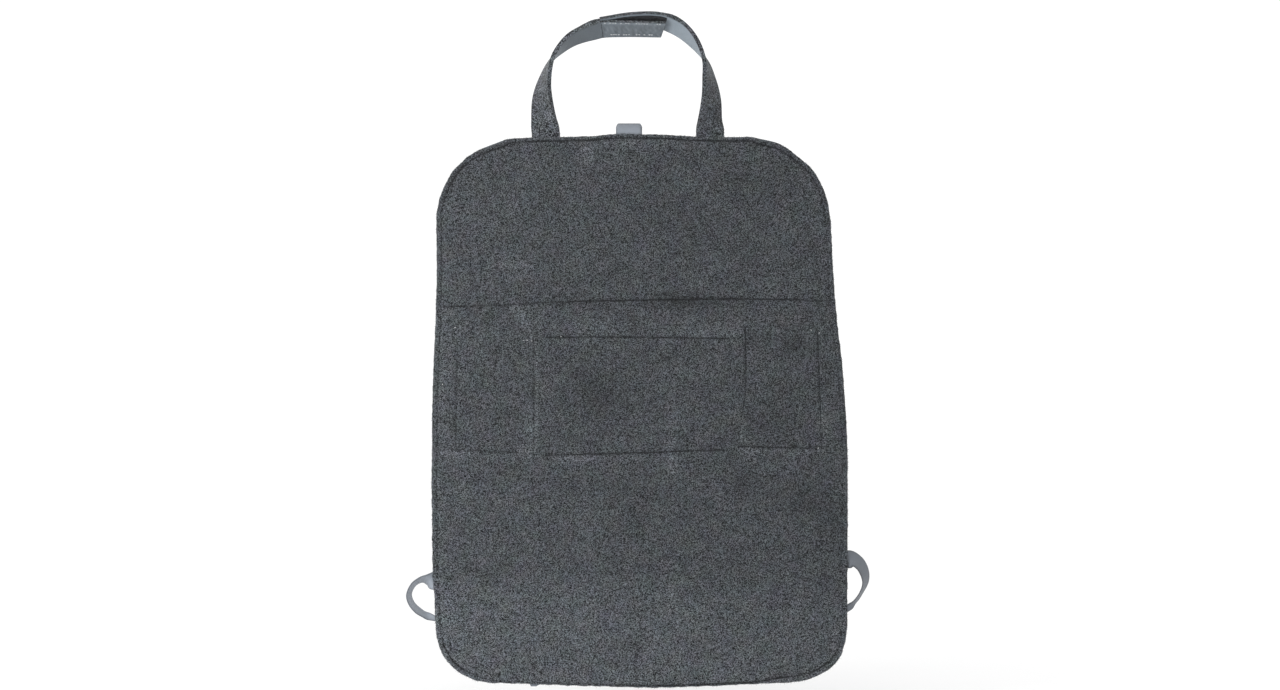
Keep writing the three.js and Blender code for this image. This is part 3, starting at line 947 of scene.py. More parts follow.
@dataclass(frozen=True)
class FloorFinish:
    """Plain pale studio floor."""

    name: str = "studio_floor"
    colour: Colour = (0.955, 0.955, 0.955)

    def material(self, effects: Effects) -> Material:
        """Build the material."""
        graph = MaterialGraph(self.name, effects)
        patches = graph.use(effects.patches, Size=0.8, Strength=0.004, Lint=0.0)
        colour = graph.dyed(self.colour, 0.0, patches)
        graph.surface(colour, 0.9, Specular_IOR_Level=0.0)
        return graph.material


@dataclass(frozen=True)
class Finishes:
    """Every material of the organizer, built once."""

    felt: Material
    strap_felt: Material
    lining: Material
    strap_lining: Material
    tape: Material
    binding: Material
    pile: Material
    thread: Material
    pale_thread: Material
    fibres: Material
    floor: Material

    @staticmethod
    def build() -> "Finishes":
        """Build every material."""
        effects = Effects()
        strap_felt = FeltFinish(
            name="strap_felt", colour=(0.0405, 0.0445, 0.0495), grain_size=0.0009, contrast=2.3
        )
        strap_lining = LeatheretteFinish(
            name="strap_lining",
            colour=(0.198, 0.232, 0.264),
            pebble=0.0006,
            rough=0.55,
            relief=0.00004,
            tone="lining_tone",
        )
        hem_tape = TapeFinish(
            name="hem_tape",
            colour=(0.082, 0.088, 0.094),
            rib=0.0016,
            warp=0.003,
            depth=0.7,
            edge_shade=0.3,
            rough=0.8,
        )
        return Finishes(
            felt=FeltFinish().material(effects),
            strap_felt=strap_felt.material(effects),
            lining=LeatheretteFinish().material(effects),
            strap_lining=strap_lining.material(effects),
            tape=TapeFinish().material(effects),
            binding=hem_tape.material(effects),
            pile=PileFinish().material(effects),
            thread=ThreadFinish().material(effects),
            pale_thread=ThreadFinish("pale_thread", (0.44, 0.45, 0.46)).material(effects),
            fibres=FibreFinish().material(effects),
            floor=FloorFinish().material(effects),
        )


def settle(piece: Piece, slot: Slot, *nodes: str) -> Piece:
    """Fix a piece to the organizer.

    Args:
        piece: the piece.
        slot: its material slot; not used.
        nodes: the nodes that it stands for.

    Returns:
        The piece.
    """
    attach(piece, "root")
    if nodes:
        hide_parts(*nodes)
    log.info("%s: %d faces", piece.name, len(piece.data.polygons))
    return piece


# Thread


def tubes(centre: Array, sideways: Array, above: Array, bulk: Array, sides: int) -> Shell:
    """Closed tubes, each about a short line of its own.

    Args:
        centre: points of the lines, by tube and ring.
        sideways: a direction across each tube at its rings.
        above: the other direction across it.
        bulk: radius of each ring.
        sides: points round a ring.

    Returns:
        The tubes as one mesh, with their sides first and their ends last.
    """
    count, rings, _ = centre.shape
    turn = np.linspace(0.0, 2.0 * math.pi, sides, endpoint=False)[:, None]
    spoke = sideways[:, :, None] * np.cos(turn) + above[:, :, None] * np.sin(turn)
    vertices = centre[:, :, None] + spoke * bulk[:, None, None]
    around = np.arange(sides)
    low = np.arange(rings - 1)[:, None] * sides
    high, after = low + sides, np.roll(around, -1)
    quad = np.stack([low + around, low + after, high + after, high + around], axis=-1)
    base = (np.arange(count) * rings * sides)[:, None]
    quads = (base[..., None] + quad.reshape(-1, 4)).reshape(-1, 4)
    ends = np.vstack([base + around[::-1], base + (rings - 1) * sides + around])
    return Shell(vertices.reshape(-1, 3), [quads, ends])


@dataclass(frozen=True)
class Stitching:
    """A row of single stitches that dip into the cloth at both ends."""

    pitch: float = 0.0034
    gap: float = 0.0007
    radius: float = 0.00042
    lift: float = 0.0002
    seed: int = 5
    hidden: float = 0.0009
    faint: float = 0.0003
    bulk: tuple = (0.45, 0.95, 1.0, 0.95, 0.45)
    sides: int = 6

    def row(
        self, line: Array, outward: Sequence[float], strength: Optional[Array] = None
    ) -> Shell:
        """Stitches along a line.

        Args:
            line: points on the cloth's face.
            outward: the direction out of the cloth.
            strength: how clearly the thread shows at each point, from 0 to 1.

        Returns:
            The stitches as one mesh.
        """
        rng = np.random.default_rng(self.seed)
        length = run_lengths(line)
        count = max(1, int(length[-1] / self.pitch))
        shown = np.ones(len(line)) if strength is None else strength
        starts = (np.arange(count) + 0.5) * length[-1] / count
        wobble = rng.normal(0.0, 0.05, count) * self.pitch
        share = np.linspace(-0.5, 0.5, len(self.bulk))
        places = (starts + wobble)[:, None] + share[None, :] * (self.pitch - self.gap)
        centre = np.stack([np.interp(places, length, column) for column in line.T], axis=-1)
        out = np.asarray(outward, float)
        level = np.interp(starts, length, shown)
        sunk = rng.uniform(0.0, 1.0, count) > level
        rise = self.lift - self.hidden * sunk - self.faint * (1.0 - level)
        arch = (1.0 - (2.0 * share) ** 2) * self.radius * 0.8 - self.radius * 0.5
        centre = centre + out * (rise[:, None] + arch[None, :])[..., None]
        tangent = unit(np.gradient(centre, axis=1))
        sideways = unit(np.cross(out, tangent))
        above = np.cross(tangent, sideways)
        return tubes(centre, sideways, above, self.radius * np.array(self.bulk), self.sides)


@dataclass(frozen=True)
class Fuzz:
    """Loose fibres that stand out of a cut edge."""

    length: float = 0.0016
    radius: float = 0.00008
    seed: int = 11
    bulk: tuple = (1.0, 0.8, 0.25)
    sides: int = 3

    def grow(self, roots: Array, outward: Array) -> Shell:
        """Fibres at a set of roots.

        Args:
            roots: where each fibre starts.
            outward: the direction that each leans to.

        Returns:
            The fibres as one mesh.
        """
        rng = np.random.default_rng(self.seed)
        count = len(roots)
        lean = unit(outward + rng.normal(0.0, 0.75, (count, 3)))
        curl = rng.normal(0.0, 0.35, (count, 3))
        length = self.length * rng.uniform(0.35, 1.25, count)[:, None]
        sideways = unit(np.cross(lean, rng.normal(0.0, 1.0, (count, 3))))
        above = np.cross(lean, sideways)
        share = np.array([0.0, 0.55, 1.0])[:, None]
        bend = lean[:, None] * share + curl[:, None] * share**2 * 0.5
        centre = roots[:, None] + bend * length[:, None]
        bulk = self.radius * np.array(self.bulk)
        return tubes(centre, sideways[:, None], above[:, None], bulk, self.sides)


# Outline and felt face


@dataclass(frozen=True)
class SheetOutline:
    """Cut outline of the organizer, as seen from the seat.

    The sides have a level, the reach to the left and the reach to the right. The top edge runs
    from right to left, and the bottom edge from left to right.
    """

    sides: tuple = (
        (-0.259, 0.1848, 0.188), (-0.249, 0.194, 0.1985), (-0.239, 0.1997, 0.2032),
        (-0.229, 0.2028, 0.2058), (-0.219, 0.2043, 0.2072), (-0.189, 0.2055, 0.2074),
        (-0.159, 0.2074, 0.2075), (-0.129, 0.2079, 0.2078), (-0.099, 0.2082, 0.2078),
        (-0.069, 0.2086, 0.2078), (-0.039, 0.208, 0.2076), (-0.009, 0.208, 0.2064),
        (0.021, 0.2074, 0.2044), (0.051, 0.2064, 0.202), (0.081, 0.2048, 0.1982),
        (0.111, 0.204, 0.1953), (0.141, 0.2034, 0.1933), (0.171, 0.2037, 0.1916),
        (0.191, 0.2038, 0.1906), (0.201, 0.2029, 0.189), (0.211, 0.2009, 0.1872),
        (0.221, 0.1976, 0.1842), (0.231, 0.1928, 0.1793), (0.241, 0.1864, 0.1732),
        (0.25, 0.1776, 0.1638), (0.256, 0.17, 0.1562), (0.2615, 0.1612, 0.1492),
    )
    top: tuple = (
        (0.14, 0.2677), (0.128, 0.271), (0.119, 0.2728), (0.111, 0.2744), (0.09, 0.2742),
        (0.05, 0.2752), (0.03, 0.2766), (0.005, 0.2771), (-0.025, 0.2774),
        (-0.052, 0.275), (-0.08, 0.2744), (-0.108, 0.2738), (-0.13, 0.2725),
        (-0.137, 0.2712), (-0.143, 0.2686), (-0.152, 0.2654),
    )
    bottom: tuple = (
        (-0.174, -0.2655), (-0.158, -0.2712), (-0.138, -0.2722), (-0.1, -0.2736),
        (-0.04, -0.2754), (0.01, -0.2768), (0.06, -0.2756), (0.1, -0.2738),
        (0.135, -0.2723), (0.156, -0.2712), (0.174, -0.2668),
    )
    mouth_left: float = 0.1368
    mouth_right: float = 0.1178

    def loop(self, spacing: float = 0.0022) -> Array:
        """The outline as a closed loop against the clock.

        Args:
            spacing: distance between its points.

        Returns:
            The loop's points in X and Z.
        """
        right = [(reach, level) for level, _, reach in self.sides]
        left = [(-reach, level) for level, reach, _ in reversed(self.sides)]
        points = spline([*right, *self.top, *left, *self.bottom], spacing, closed=True)
        reach = np.arange(-9, 10)
        weights = bell(reach, 0.0036 / spacing)
        weights /= weights.sum()
        return sum(w * np.roll(points, -k, axis=0) for w, k in zip(weights, reach))

    def mouth_share(self, x: Array, z: Array) -> Array:
        """How far a place belongs to the mouth's edge.

        Args:
            x: places across.
            z: levels.

        Returns:
            From 0 away from the mouth to 1 at its edge.
        """
        left = smooth((x + self.mouth_left) / 0.003)
        right = smooth((self.mouth_right - x) / 0.003)
        return left * right * smooth((z - 0.2) / 0.03)

    def top_level(self, x: Array) -> Array:
        """Level of the top edge across the mouth."""
        places = np.array(self.top)[::-1]
        return np.interp(x, places[:, 0], places[:, 1])


@dataclass(frozen=True)
class SeamRun:
    """A run of topstitching in the felt face.

    Attributes:
        points: its corners in X and Z.
        strength: how clearly it shows at each corner.
        ridge: height of the raised fold beside it.
        bend: whether it curves through its corners.
    """

    points: tuple
    strength: tuple
    ridge: float = 0.0001
    bend: bool = False

    def line(self) -> Array:
        """Points along the run: X, Z and the strength."""
        stations = np.column_stack([np.array(self.points), np.array(self.strength)])
        follow = spline if self.bend else resample
        return follow(stations, SEAM_STEP)


@dataclass(frozen=True)
class NapPatch:
    """A brushed or pressed patch of the pile.

    It has its middle, its spread across and up, how much lighter it is, or darker where that is
    below 0, and its turn in degrees.
    """

    x: float
    z: float
    width: float
    height: float
    tone: float
    lean: float = 0.0

    def at(self, x: Array, z: Array) -> Array:
        """Tone of the patch at each place."""
        angle = math.radians(self.lean)
        dx, dz = x - self.x, z - self.z
        across = dx * math.cos(angle) + dz * math.sin(angle)
        up = dz * math.cos(angle) - dx * math.sin(angle)
        return 1.3 * self.tone * bell(across, self.width) * bell(up, self.height)


# Distance between the points of a seam, and how many places are compared with it at once
SEAM_STEP = 0.001
CHUNK = 2000

CROSS_SEAM = SeamRun(
    (
        (-0.1975, 0.1043),
        (-0.13, 0.1063),
        (-0.096, 0.1083),
        (-0.063, 0.1096),
        (0.0, 0.1108),
        (0.08, 0.112),
        (0.14, 0.1115),
        (0.1905, 0.1101),
    ),
    (0.7, 0.72, 0.68, 0.9, 1.0, 1.0, 0.85, 0.6),
    bend=True,
)
TISSUE_TOP = SeamRun(((-0.0935, 0.0739), (0.0, 0.0741), (0.0898, 0.0722)), (0.9, 1.0, 0.85))
TISSUE_BOTTOM = SeamRun(
    ((-0.0935, -0.0444), (0.0, -0.0417), (0.0828, -0.0390)), (0.75, 0.9, 0.8), 0.0004
)
LEFT_POCKET = (
    SeamRun(((-0.1825, 0.0690), (-0.1846, -0.0384)), (0.55, 0.45)),
    SeamRun(((-0.1846, -0.0384), (-0.1136, -0.0424)), (0.5, 0.6), 0.0005),
    SeamRun(((-0.1062, -0.0460), (-0.1062, 0.0715)), (0.55, 0.45), 0.0006),
)
RIGHT_POCKET = (
    SeamRun(((0.1052, 0.0845), (0.1060, 0.0230), (0.0980, -0.0330)), (0.85, 0.6, 0.3), 0.0004),
    SeamRun(((0.0982, -0.0355), (0.1838, -0.0375)), (0.8, 0.6), 0.0004),
    SeamRun(((0.1775, 0.0803), (0.1817, -0.0360)), (0.65, 0.5), 0.0003),
)
OPEN_SEAMS: dict[str, tuple] = {
    "cross_seam": (CROSS_SEAM,),
    "tissue_top_seam": (TISSUE_TOP,),
    "tissue_bottom_seam": (TISSUE_BOTTOM,),
    "left_pocket_seam": LEFT_POCKET,
    "right_pocket_seam": RIGHT_POCKET,
}

NAP_PATCHES = tuple(
    NapPatch(*row)
    for row in (
        (-0.053, 0.259, 0.005, 0.009, 0.42), (-0.003, 0.268, 0.03, 0.004, 0.22),
        (-0.123, 0.141, 0.009, 0.01, 0.27), (-0.119, 0.095, 0.003, 0.009, 0.42, 40.0),
        (-0.108, 0.048, 0.004, 0.014, 0.22), (-0.108, -0.016, 0.0035, 0.014, 0.34),
        (-0.112, -0.041, 0.006, 0.0045, 0.5), (-0.178, -0.044, 0.011, 0.0028, 0.4),
        (-0.135, -0.046, 0.012, 0.0028, 0.24), (-0.066, -0.0475, 0.018, 0.0032, 0.36),
        (0.01, -0.046, 0.022, 0.0025, 0.16), (0.032, -0.014, 0.0045, 0.022, 0.24),
        (0.033, -0.052, 0.006, 0.01, 0.26), (0.05, 0.04, 0.012, 0.003, 0.16),
        (0.11, -0.04, 0.01, 0.0028, 0.34), (0.1, -0.025, 0.0025, 0.01, 0.2),
        (0.16, -0.0415, 0.014, 0.0026, 0.22), (0.1845, -0.014, 0.003, 0.02, 0.24),
        (0.03, -0.184, 0.006, 0.018, 0.22), (-0.045, 0.082, 0.016, 0.007, 0.24),
        (0.062, 0.077, 0.026, 0.006, 0.2), (0.094, 0.086, 0.01, 0.008, 0.12),
        (-0.198, 0.062, 0.006, 0.06, 0.14), (-0.197, -0.205, 0.008, 0.04, 0.16),
        (-0.16, 0.19, 0.01, 0.016, 0.12), (-0.06, -0.115, 0.016, 0.022, 0.08),
        (-0.1, -0.18, 0.05, 0.03, 0.07), (0.042, 0.11, 0.032, 0.0055, -0.26),
        (-0.04, 0.108, 0.06, 0.0035, -0.12), (-0.043, 0.021, 0.024, 0.021, -0.18),
        (0.155, 0.066, 0.009, 0.009, -0.22), (0.135, -0.009, 0.014, 0.012, -0.14),
        (0.16, -0.089, 0.02, 0.016, -0.17), (0.192, -0.112, 0.01, 0.016, -0.16),
        (0.035, 0.191, 0.032, 0.014, -0.12, -20.0), (0.105, -0.074, 0.013, 0.011, -0.17),
        (-0.01, -0.089, 0.03, 0.018, -0.12), (-0.093, -0.0445, 0.0035, 0.0035, -0.3),
        (0.092, -0.043, 0.004, 0.003, -0.25), (0.1, 0.235, 0.02, 0.014, -0.08),
    )
)


@dataclass
class FeltFace:
    """Relief and tone of the felt face that lies against the seat, with its painted light and
    shade.

    A hollow over a pocket has its place across and up, its spread across and up, and its depth.
    """

    outline: SheetOutline
    groove: float = 0.001
    groove_width: float = 0.00095
    swell: Waves = Waves(0.085, 0.0005, 21)
    ripple: Waves = Waves(0.026, 0.00014, 22)
    perimeter_inset: float = 0.0050
    mouth_inset: float = 0.0040
    bottom_inset: float = 0.0021
    corner_inset: float = 0.0058
    step: float = 0.0018
    step_reach: float = 0.016
    seam_reach: float = 0.016
    pucker_length: float = 0.0093
    fold_place: float = 0.0042
    fold_width: float = 0.0018
    shade_width: float = 0.00062
    ragged: tuple = (Waves(0.012, 0.00016, 31), Waves(0.0045, 0.00012, 32))
    clouds: tuple = (Waves(0.019, 0.028, 41), Waves(0.05, 0.022, 42))
    hollows: tuple = (
        (-0.145, 0.012, 0.028, 0.04, 0.0006),
        (0.142, 0.02, 0.028, 0.04, 0.0006),
        (0.0, 0.015, 0.06, 0.035, 0.0007),
    )

    def __post_init__(self) -> None:
        """Lay out the border and the seams."""
        border = self.outline.loop()
        share = self.outline.mouth_share(border[:, 0], border[:, 1])
        ends = bell(border[:, 0] + self.outline.mouth_left, self.step_reach)
        ends += bell(border[:, 0] - self.outline.mouth_right, self.step_reach)
        upper = smooth((border[:, 1] - 0.255) / 0.01)
        border[:, 1] -= 0.0003 * share + self.step * (1.0 - share) * ends * upper
        ragged = sum(waves.at(border[:, 0], border[:, 1]) for waves in self.ragged)
        self.border = offset_loop(border, ragged)
        seam = offset_loop(border, self.inset(border[:, 0], border[:, 1]))
        strength = self.perimeter_strength(seam[:, 0], seam[:, 1])
        closed = np.column_stack([seam, strength])
        self.perimeter = resample(np.vstack([closed, closed[:1]]), SEAM_STEP)
        self.seams = {name: [run.line() for run in runs] for name, runs in OPEN_SEAMS.items()}

    def inset(self, x: Array, z: Array) -> Array:
        """How far the border seam lies inside the edge at each place."""
        top = smooth((z - 0.255) / 0.01)
        over_mouth = smooth((0.150 - np.abs(x + 0.009)) / 0.030) * top
        low = smooth((-0.250 - z) / 0.012)
        under = smooth((x + 0.168) / 0.03) * smooth((0.150 - x) / 0.04) * low
        corner = smooth((x - 0.11) / 0.03) * smooth((-0.225 - z) / 0.03)
        inset = self.perimeter_inset + (self.corner_inset - self.perimeter_inset) * corner
        inset = inset + (self.mouth_inset - inset) * over_mouth
        return inset + (self.bottom_inset - inset) * under

    def perimeter_strength(self, x: Array, z: Array) -> Array:
        """How clearly the border seam shows at each place."""
        top = smooth((z - 0.235) / 0.02)
        low_right = smooth((x + 0.02) / 0.1) * smooth((-0.235 - z) / 0.02)
        low_left = smooth((-0.15 - x) / 0.03) * smooth((-0.215 - z) / 0.02)
        right_side = smooth((x - 0.15) / 0.03) * smooth((0.2 - z) / 0.05)
        right_side = right_side * smooth((z + 0.23) / 0.02)
        corner = smooth((-0.13 - x) / 0.04) * smooth((z - 0.2) / 0.03)
        base = 0.54 - 0.3 * right_side + 0.3 * corner
        return np.clip(base + 0.54 * top + 0.6 * low_right + 0.45 * low_left, 0.0, 1.0)

    def lines(self) -> list[tuple[Array, float]]:
        """Every seam as its points, with the height of its ridge."""
        found = [(self.perimeter, SeamRun.ridge)]
        for name, lines in self.seams.items():
            found += [(line, run.ridge) for line, run in zip(lines, OPEN_SEAMS[name])]
        return found

    def nearest(self, line: Array, x: Array, z: Array) -> tuple[Array, Array, Array]:
        """Distance to a seam, its strength there and the place along it.

        Args:
            line: the seam's points with their strength.
            x: places across.
            z: places up.

        Returns:
            The distance, the strength and the place along the seam at each point.
        """
        distance = np.full(len(x), 1.0)
        strength = np.zeros(len(x))
        along = np.zeros(len(x))
        low = line[:, :2].min(axis=0) - self.seam_reach
        high = line[:, :2].max(axis=0) + self.seam_reach
        near = np.flatnonzero((x > low[0]) & (x < high[0]) & (z > low[1]) & (z < high[1]))
        tangent = unit(np.gradient(line[:, :2], axis=0))
        length = run_lengths(line[:, :2])
        for chunk in np.array_split(near, max(1, len(near) // CHUNK)):
            dx = x[chunk, None] - line[None, :, 0]
            dz = z[chunk, None] - line[None, :, 1]
            best = np.argmin(dx * dx + dz * dz, axis=1)
            rows = np.arange(len(chunk))
            ox, oz = dx[rows, best], dz[rows, best]
            forward = ox * tangent[best, 0] + oz * tangent[best, 1]
            step = np.clip(forward, -0.0006, 0.0006)
            distance[chunk] = np.hypot(ox - step * tangent[best, 0], oz - step * tangent[best, 1])
            strength[chunk] = line[best, 2]
            along[chunk] = length[best] + step
        return distance, strength, along

    def shape(self, x: Array, z: Array) -> tuple[Array, Array]:
        """Relief of the felt face and the painted shade of its seam grooves.

        Args:
            x: places across.
            z: places up.

        Returns:
            The depth of the face, and how dark its seams are.
        """
        depth = self.swell.at(x, z) + self.ripple.at(x, z)
        for across, up, width, height, fall in self.hollows:
            depth -= fall * bell(x - across, width) * bell(z - up, height)
        shade = np.zeros(len(x))
        for line, ridge in self.lines():
            distance, strength, along = self.nearest(line, x, z)
            pull = 0.8 + 0.2 * np.cos(2.0 * math.pi * along / Stitching.pitch)
            sunk = self.groove * (0.35 + 0.65 * strength) * pull
            depth += sunk * bell(distance, self.groove_width)
            drift = 3.0 * np.sin(along * 210.0)
            pucker = 0.5 + 0.5 * np.cos(2.0 * math.pi * along / self.pucker_length + drift)
            raised = bell(distance - self.fold_place, self.fold_width)
            depth -= (0.00012 + ridge) * raised * (0.55 + 0.45 * pucker)
            broken = 0.74 + 0.26 * np.sin(along * 310.0 + 2.6 * np.sin(along * 97.0))
            # Painted shade of the seam groove, broken along its length.
            shade = np.maximum(shade, strength * broken * bell(distance, self.shade_width))
        return depth, shade

    def tone(self, x: Array, z: Array) -> Array:
        """How much lighter the pile is at each place: brushed patches, clouds, lighter bands along
        the left border and the hem, a painted highlight on the ridge beside the left pocket, and
        painted light that is brighter towards the foot and the left.
        """
        tone = sum(patch.at(x, z) for patch in NAP_PATCHES)
        for waves in self.clouds:
            tone = tone + waves.at(x, z)
        border = 0.10 * bell(x + 0.2045, 0.006) * smooth((0.2 - z) / 0.05)
        hem = 0.14 * bell(z + 0.2695, 0.003)
        # Painted highlight on the ridge beside the left pocket's right seam.
        ridge = bell(x + 0.1035, 0.0011) * smooth((0.074 - z) / 0.012) * smooth((z + 0.047) / 0.01)
        patchy = 0.6 + 0.4 * np.sin(z * 190.0 + 2.0 * np.sin(z * 77.0))
        # Painted light: brighter towards the foot, the lower half and the left.
        foot = smooth((-0.150 - z) / 0.07)
        sideways = -0.25 * x + 0.05 * smooth((-0.12 - x) / 0.08)
        painted_light_gradient = 0.36 * foot * (1.0 - 1.2 * np.maximum(x, 0.0)) + sideways
        painted_light_gradient += 0.06 * smooth((-0.04 - z) / 0.05)
        return tone + border + hem + 0.34 * ridge * patchy + painted_light_gradient


@dataclass
class BackSheet:
    """Felt sheet against the seat, with its stitches and its fuzzy edge."""

    face: FeltFace
    finishes: Finishes
    grid: float = 0.0026
    row_step: float = 0.0016
    edge_radius: float = 0.0012
    flat: tuple[float, float] = (0.417, 0.554)
    area: float = 0.2245
    rim_light: float = 0.45
    rings: tuple = (0.00035, 0.0009, 0.0018)
    beside_seams: tuple = (0.0, 0.0009, -0.0009, 0.002, -0.002)
    nearest: float = 0.0008
    thread_ends: tuple = (
        (-0.185, 0.0835, 20.0), (-0.1165, 0.0706, 5.0), (-0.1128, 0.0709, -12.0),
        (-0.1085, 0.07, 8.0), (-0.1975, 0.0265, 50.0), (0.171, 0.081, -30.0),
        (0.1792, 0.078, 15.0), (0.1782, -0.0372, 70.0), (-0.079, 0.0742, 25.0),
    )

    def near_points(self) -> Array:
        """Points of the face towards the seat, closer together along the seams."""
        border = self.face.border
        rings = [offset_loop(border, inset) for inset in self.rings]
        rows = []
        for line, _ in self.face.lines():
            middle = resample(line, self.row_step)[:, :2]
            tangent = unit(np.gradient(middle, axis=0))
            side = np.stack([tangent[:, 1], -tangent[:, 0]], axis=1)
            rows += [middle + side * shift for shift in self.beside_seams]
        spread = hexagon_grid(offset_loop(border, 0.0034), self.grid)
        inner = np.vstack(rows)
        inner = inner[inside(offset_loop(border, 0.0012), inner)]
        ordered = np.vstack([*rings, inner, spread])
        return thin_out(ordered, self.nearest, sum(len(ring) for ring in rings))

    def build(self) -> Piece:
        """Build the felt sheet."""
        border = self.face.border
        near_cut = Cut.of(border, self.near_points())
        far_cut = Cut.of(border, hexagon_grid(offset_loop(border, 0.003), 0.008))
        x, z = near_cut.corners.T
        depth, shade = self.face.shape(x, z)
        closed = np.vstack([border, border[:1]])
        line = np.column_stack([closed, np.ones(len(closed))])
        distance, _, _ = self.face.nearest(line, x, z)
        distance[near_cut.border] = 0.0
        inward = np.clip(1.0 - distance / self.edge_radius, 0.0, 1.0)
        rounding = self.edge_radius * (1.0 - np.sqrt(1.0 - inward**2))
        near = np.minimum(depth, FELT_THICKNESS - 0.0009) + rounding
        far = np.full(len(far_cut.corners), FELT_THICKNESS)
        far[far_cut.border] -= 0.0004
        shell = sheet_shell(near_cut, near, far_cut, far)
        plain = np.zeros(len(far))
        lit = self.rim_light * bell(distance, 0.0009) * self.face.outline.mouth_share(x, z)
        # The pile's tone with its painted light along the mouth's rim, the painted shade of the
        # seam grooves and the painted shade of the cut edge.
        shell.values = {
            "nap": np.concatenate([self.face.tone(x, z) + lit, plain]),
            "seam": np.concatenate([shade, plain]),
            "rim": np.concatenate([bell(distance, 0.0007), plain]),
        }
        return shell.piece("felt_sheet", [self.finishes.felt], 65.0)

    def stitches(self, name: str, runs: Sequence[Array]) -> Piece:
        """Stitches of one seam.

        Args:
            name: the seam's name.
            runs: its runs, with their strength.

        Returns:
            The stitches.
        """
        shells = []
        for run in runs:
            depth, _ = self.face.shape(run[:, 0], run[:, 1])
            line = np.column_stack([run[:, 0], depth, run[:, 1]])
            shells.append(Stitching(seed=len(name)).row(line, TOWARDS_SEAT, run[:, 2]))
        whole = reduce(Shell.joined, shells)
        return whole.piece(name.replace("_seam", "_stitches"), [self.finishes.thread])

    def fuzz(self) -> Piece:
        """Loose fibres along the cut edge."""
        rng = np.random.default_rng(12)
        border = self.face.border
        line = resample(np.vstack([border, border[:1]]), 0.0005)
        tangent = unit(np.gradient(line, axis=0))
        outward = np.stack([tangent[:, 1], np.zeros(len(line)), -tangent[:, 0]], axis=1)
        depth = rng.uniform(0.0004, 0.0022, len(line))
        roots = np.column_stack([line[:, 0], depth, line[:, 1]]) - outward * 0.0002
        return Fuzz().grow(roots, outward).piece("felt_edge_fibres", [self.finishes.fibres])

    def bits(self) -> Piece:
        """Pale thread ends that show beside the pocket seams."""
        single = Stitching(pitch=0.0014, gap=0.0, radius=0.00038, lift=0.0003, seed=3)
        share = np.linspace(-0.5, 0.5, 5)
        shells = []
        for x, z, lean in self.thread_ends:
            angle = math.radians(lean)
            px = x + share * single.pitch * math.cos(angle)
            pz = z + share * single.pitch * math.sin(angle)
            depth, _ = self.face.shape(px, pz)
            shells.append(single.row(np.column_stack([px, depth, pz]), TOWARDS_SEAT))
        whole = reduce(Shell.joined, shells)
        return whole.piece("pale_thread_ends", [self.finishes.pale_thread])

    def dress(self) -> None:
        """Build every piece of the felt side."""
        sheet = settle(self.build(), Slot.FELT, "back_panel")
        fibres = settle(self.fuzz(), Slot.FELT)
        border = self.stitches("perimeter_seam", [self.face.perimeter])
        threads = [settle(border, Slot.THREAD, "perimeter_seam")]
        for name, runs in self.face.seams.items():
            threads.append(settle(self.stitches(name, runs), Slot.THREAD, name))
        threads.append(settle(self.bits(), Slot.THREAD))


# Front sheet and pockets


@dataclass(frozen=True)
class UpperSleeve:
    """Room between the two sheets, open at the top."""

    depth: float = 0.015
    rise: float = 0.105
    straight: float = 0.040
    panel_top: float = 0.2765
    shoulder: float = 0.1915
    seam_level: float = 0.1108
    inset: float = 0.0048

    def bulge(self, x: Array, z: Array) -> Array:
        """Depth of the room at each place.

        Args:
            x: places across.
            z: places up.

        Returns:
            How far the front sheet stands off.
        """
        level = self.panel_top - self.straight
        up = np.clip((z - self.shoulder) / (level - self.shoulder), 0.0, 1.0)
        left = (0.204 - self.inset) * (1.0 - up) + 0.137 * up
        right = (0.190 - self.inset) * (1.0 - up) + 0.119 * up
        across = np.clip(np.abs((2.0 * x + left - right) / (left + right)), 0.0, 1.0)
        opened = smooth((z - self.seam_level - 0.004) / self.rise)
        room = (HEM_THICKNESS + LAYER_GAP) * smooth((z - self.panel_top) / self.straight + 2.0)
        return self.depth * opened * np.cos(across * math.pi / 2.0) + room


def hem_shell(points: Array, normal: Array, out: Array, thickness: float, leaf: float) -> Shell:
    """Hem tape folded over the edge of a cloth.

    Args:
        points: the middle of the edge at each station.
        normal: the cloth's normal there.
        out: the direction out of the edge.
        thickness: the cloth's thickness.
        leaf: how far the tape reaches down each face.

    Returns:
        The tape.
    """
    reach = thickness / 2.0 + LAYER_GAP + HEM_THICKNESS / 2.0
    angles = np.linspace(math.pi, 0.0, 9)
    fold = np.stack([reach * np.cos(angles), reach * np.sin(angles)], axis=1)
    down = -leaf * np.array([1.0, 0.93, 0.75, 0.5, 0.25])
    front = np.stack([np.full(len(down), -reach), down], axis=1)
    back = np.stack([np.full(len(down), reach), down[::-1]], axis=1)
    section = np.vstack([front, fold, back])
    grid = (
        points[:, None, :]
        + normal[:, None, :] * section[None, :, :1]
        + out[:, None, :] * section[None, :, 1:]
    )
    return thicken(grid, HEM_THICKNESS)


def sewn_tape(name: str, tape: Shell, row: Array, finishes: Finishes) -> Piece:
    """Tape with a row of stitches on its outer face.

    Args:
        name: the piece's name.
        tape: the tape.
        row: points of the stitched line.
        finishes: every material.

    Returns:
        The tape.
    """
    stitches = Stitching(pitch=0.003).row(row, TOWARDS_POCKETS)
    stitches.sides = [1] * len(stitches.faces)
    return tape.joined(stitches).piece(name, [finishes.binding, finishes.thread])


def mouth_tape(
    name: str, points: Array, thickness: float, row_depth: float, finishes: Finishes
) -> Piece:
    """Stitched hem of a cloth that stands straight up below its mouth.

    Args:
        name: the piece's name.
        points: the middle of the cloth's edge.
        thickness: the cloth's thickness.
        row_depth: how far its stitches lie in front of that middle.
        finishes: every material.

    Returns:
        The hem.
    """
    along = unit(np.gradient(points, axis=0))
    out = np.tile([0.0, 0.0, 1.0], (len(points), 1))
    tape = hem_shell(points, unit(np.cross(out, along)), out, thickness, HEM_LEAF)
    row = points + np.array([0.0, row_depth, HEM_MARGIN - HEM_LEAF])
    return sewn_tape(name, tape, row, finishes)


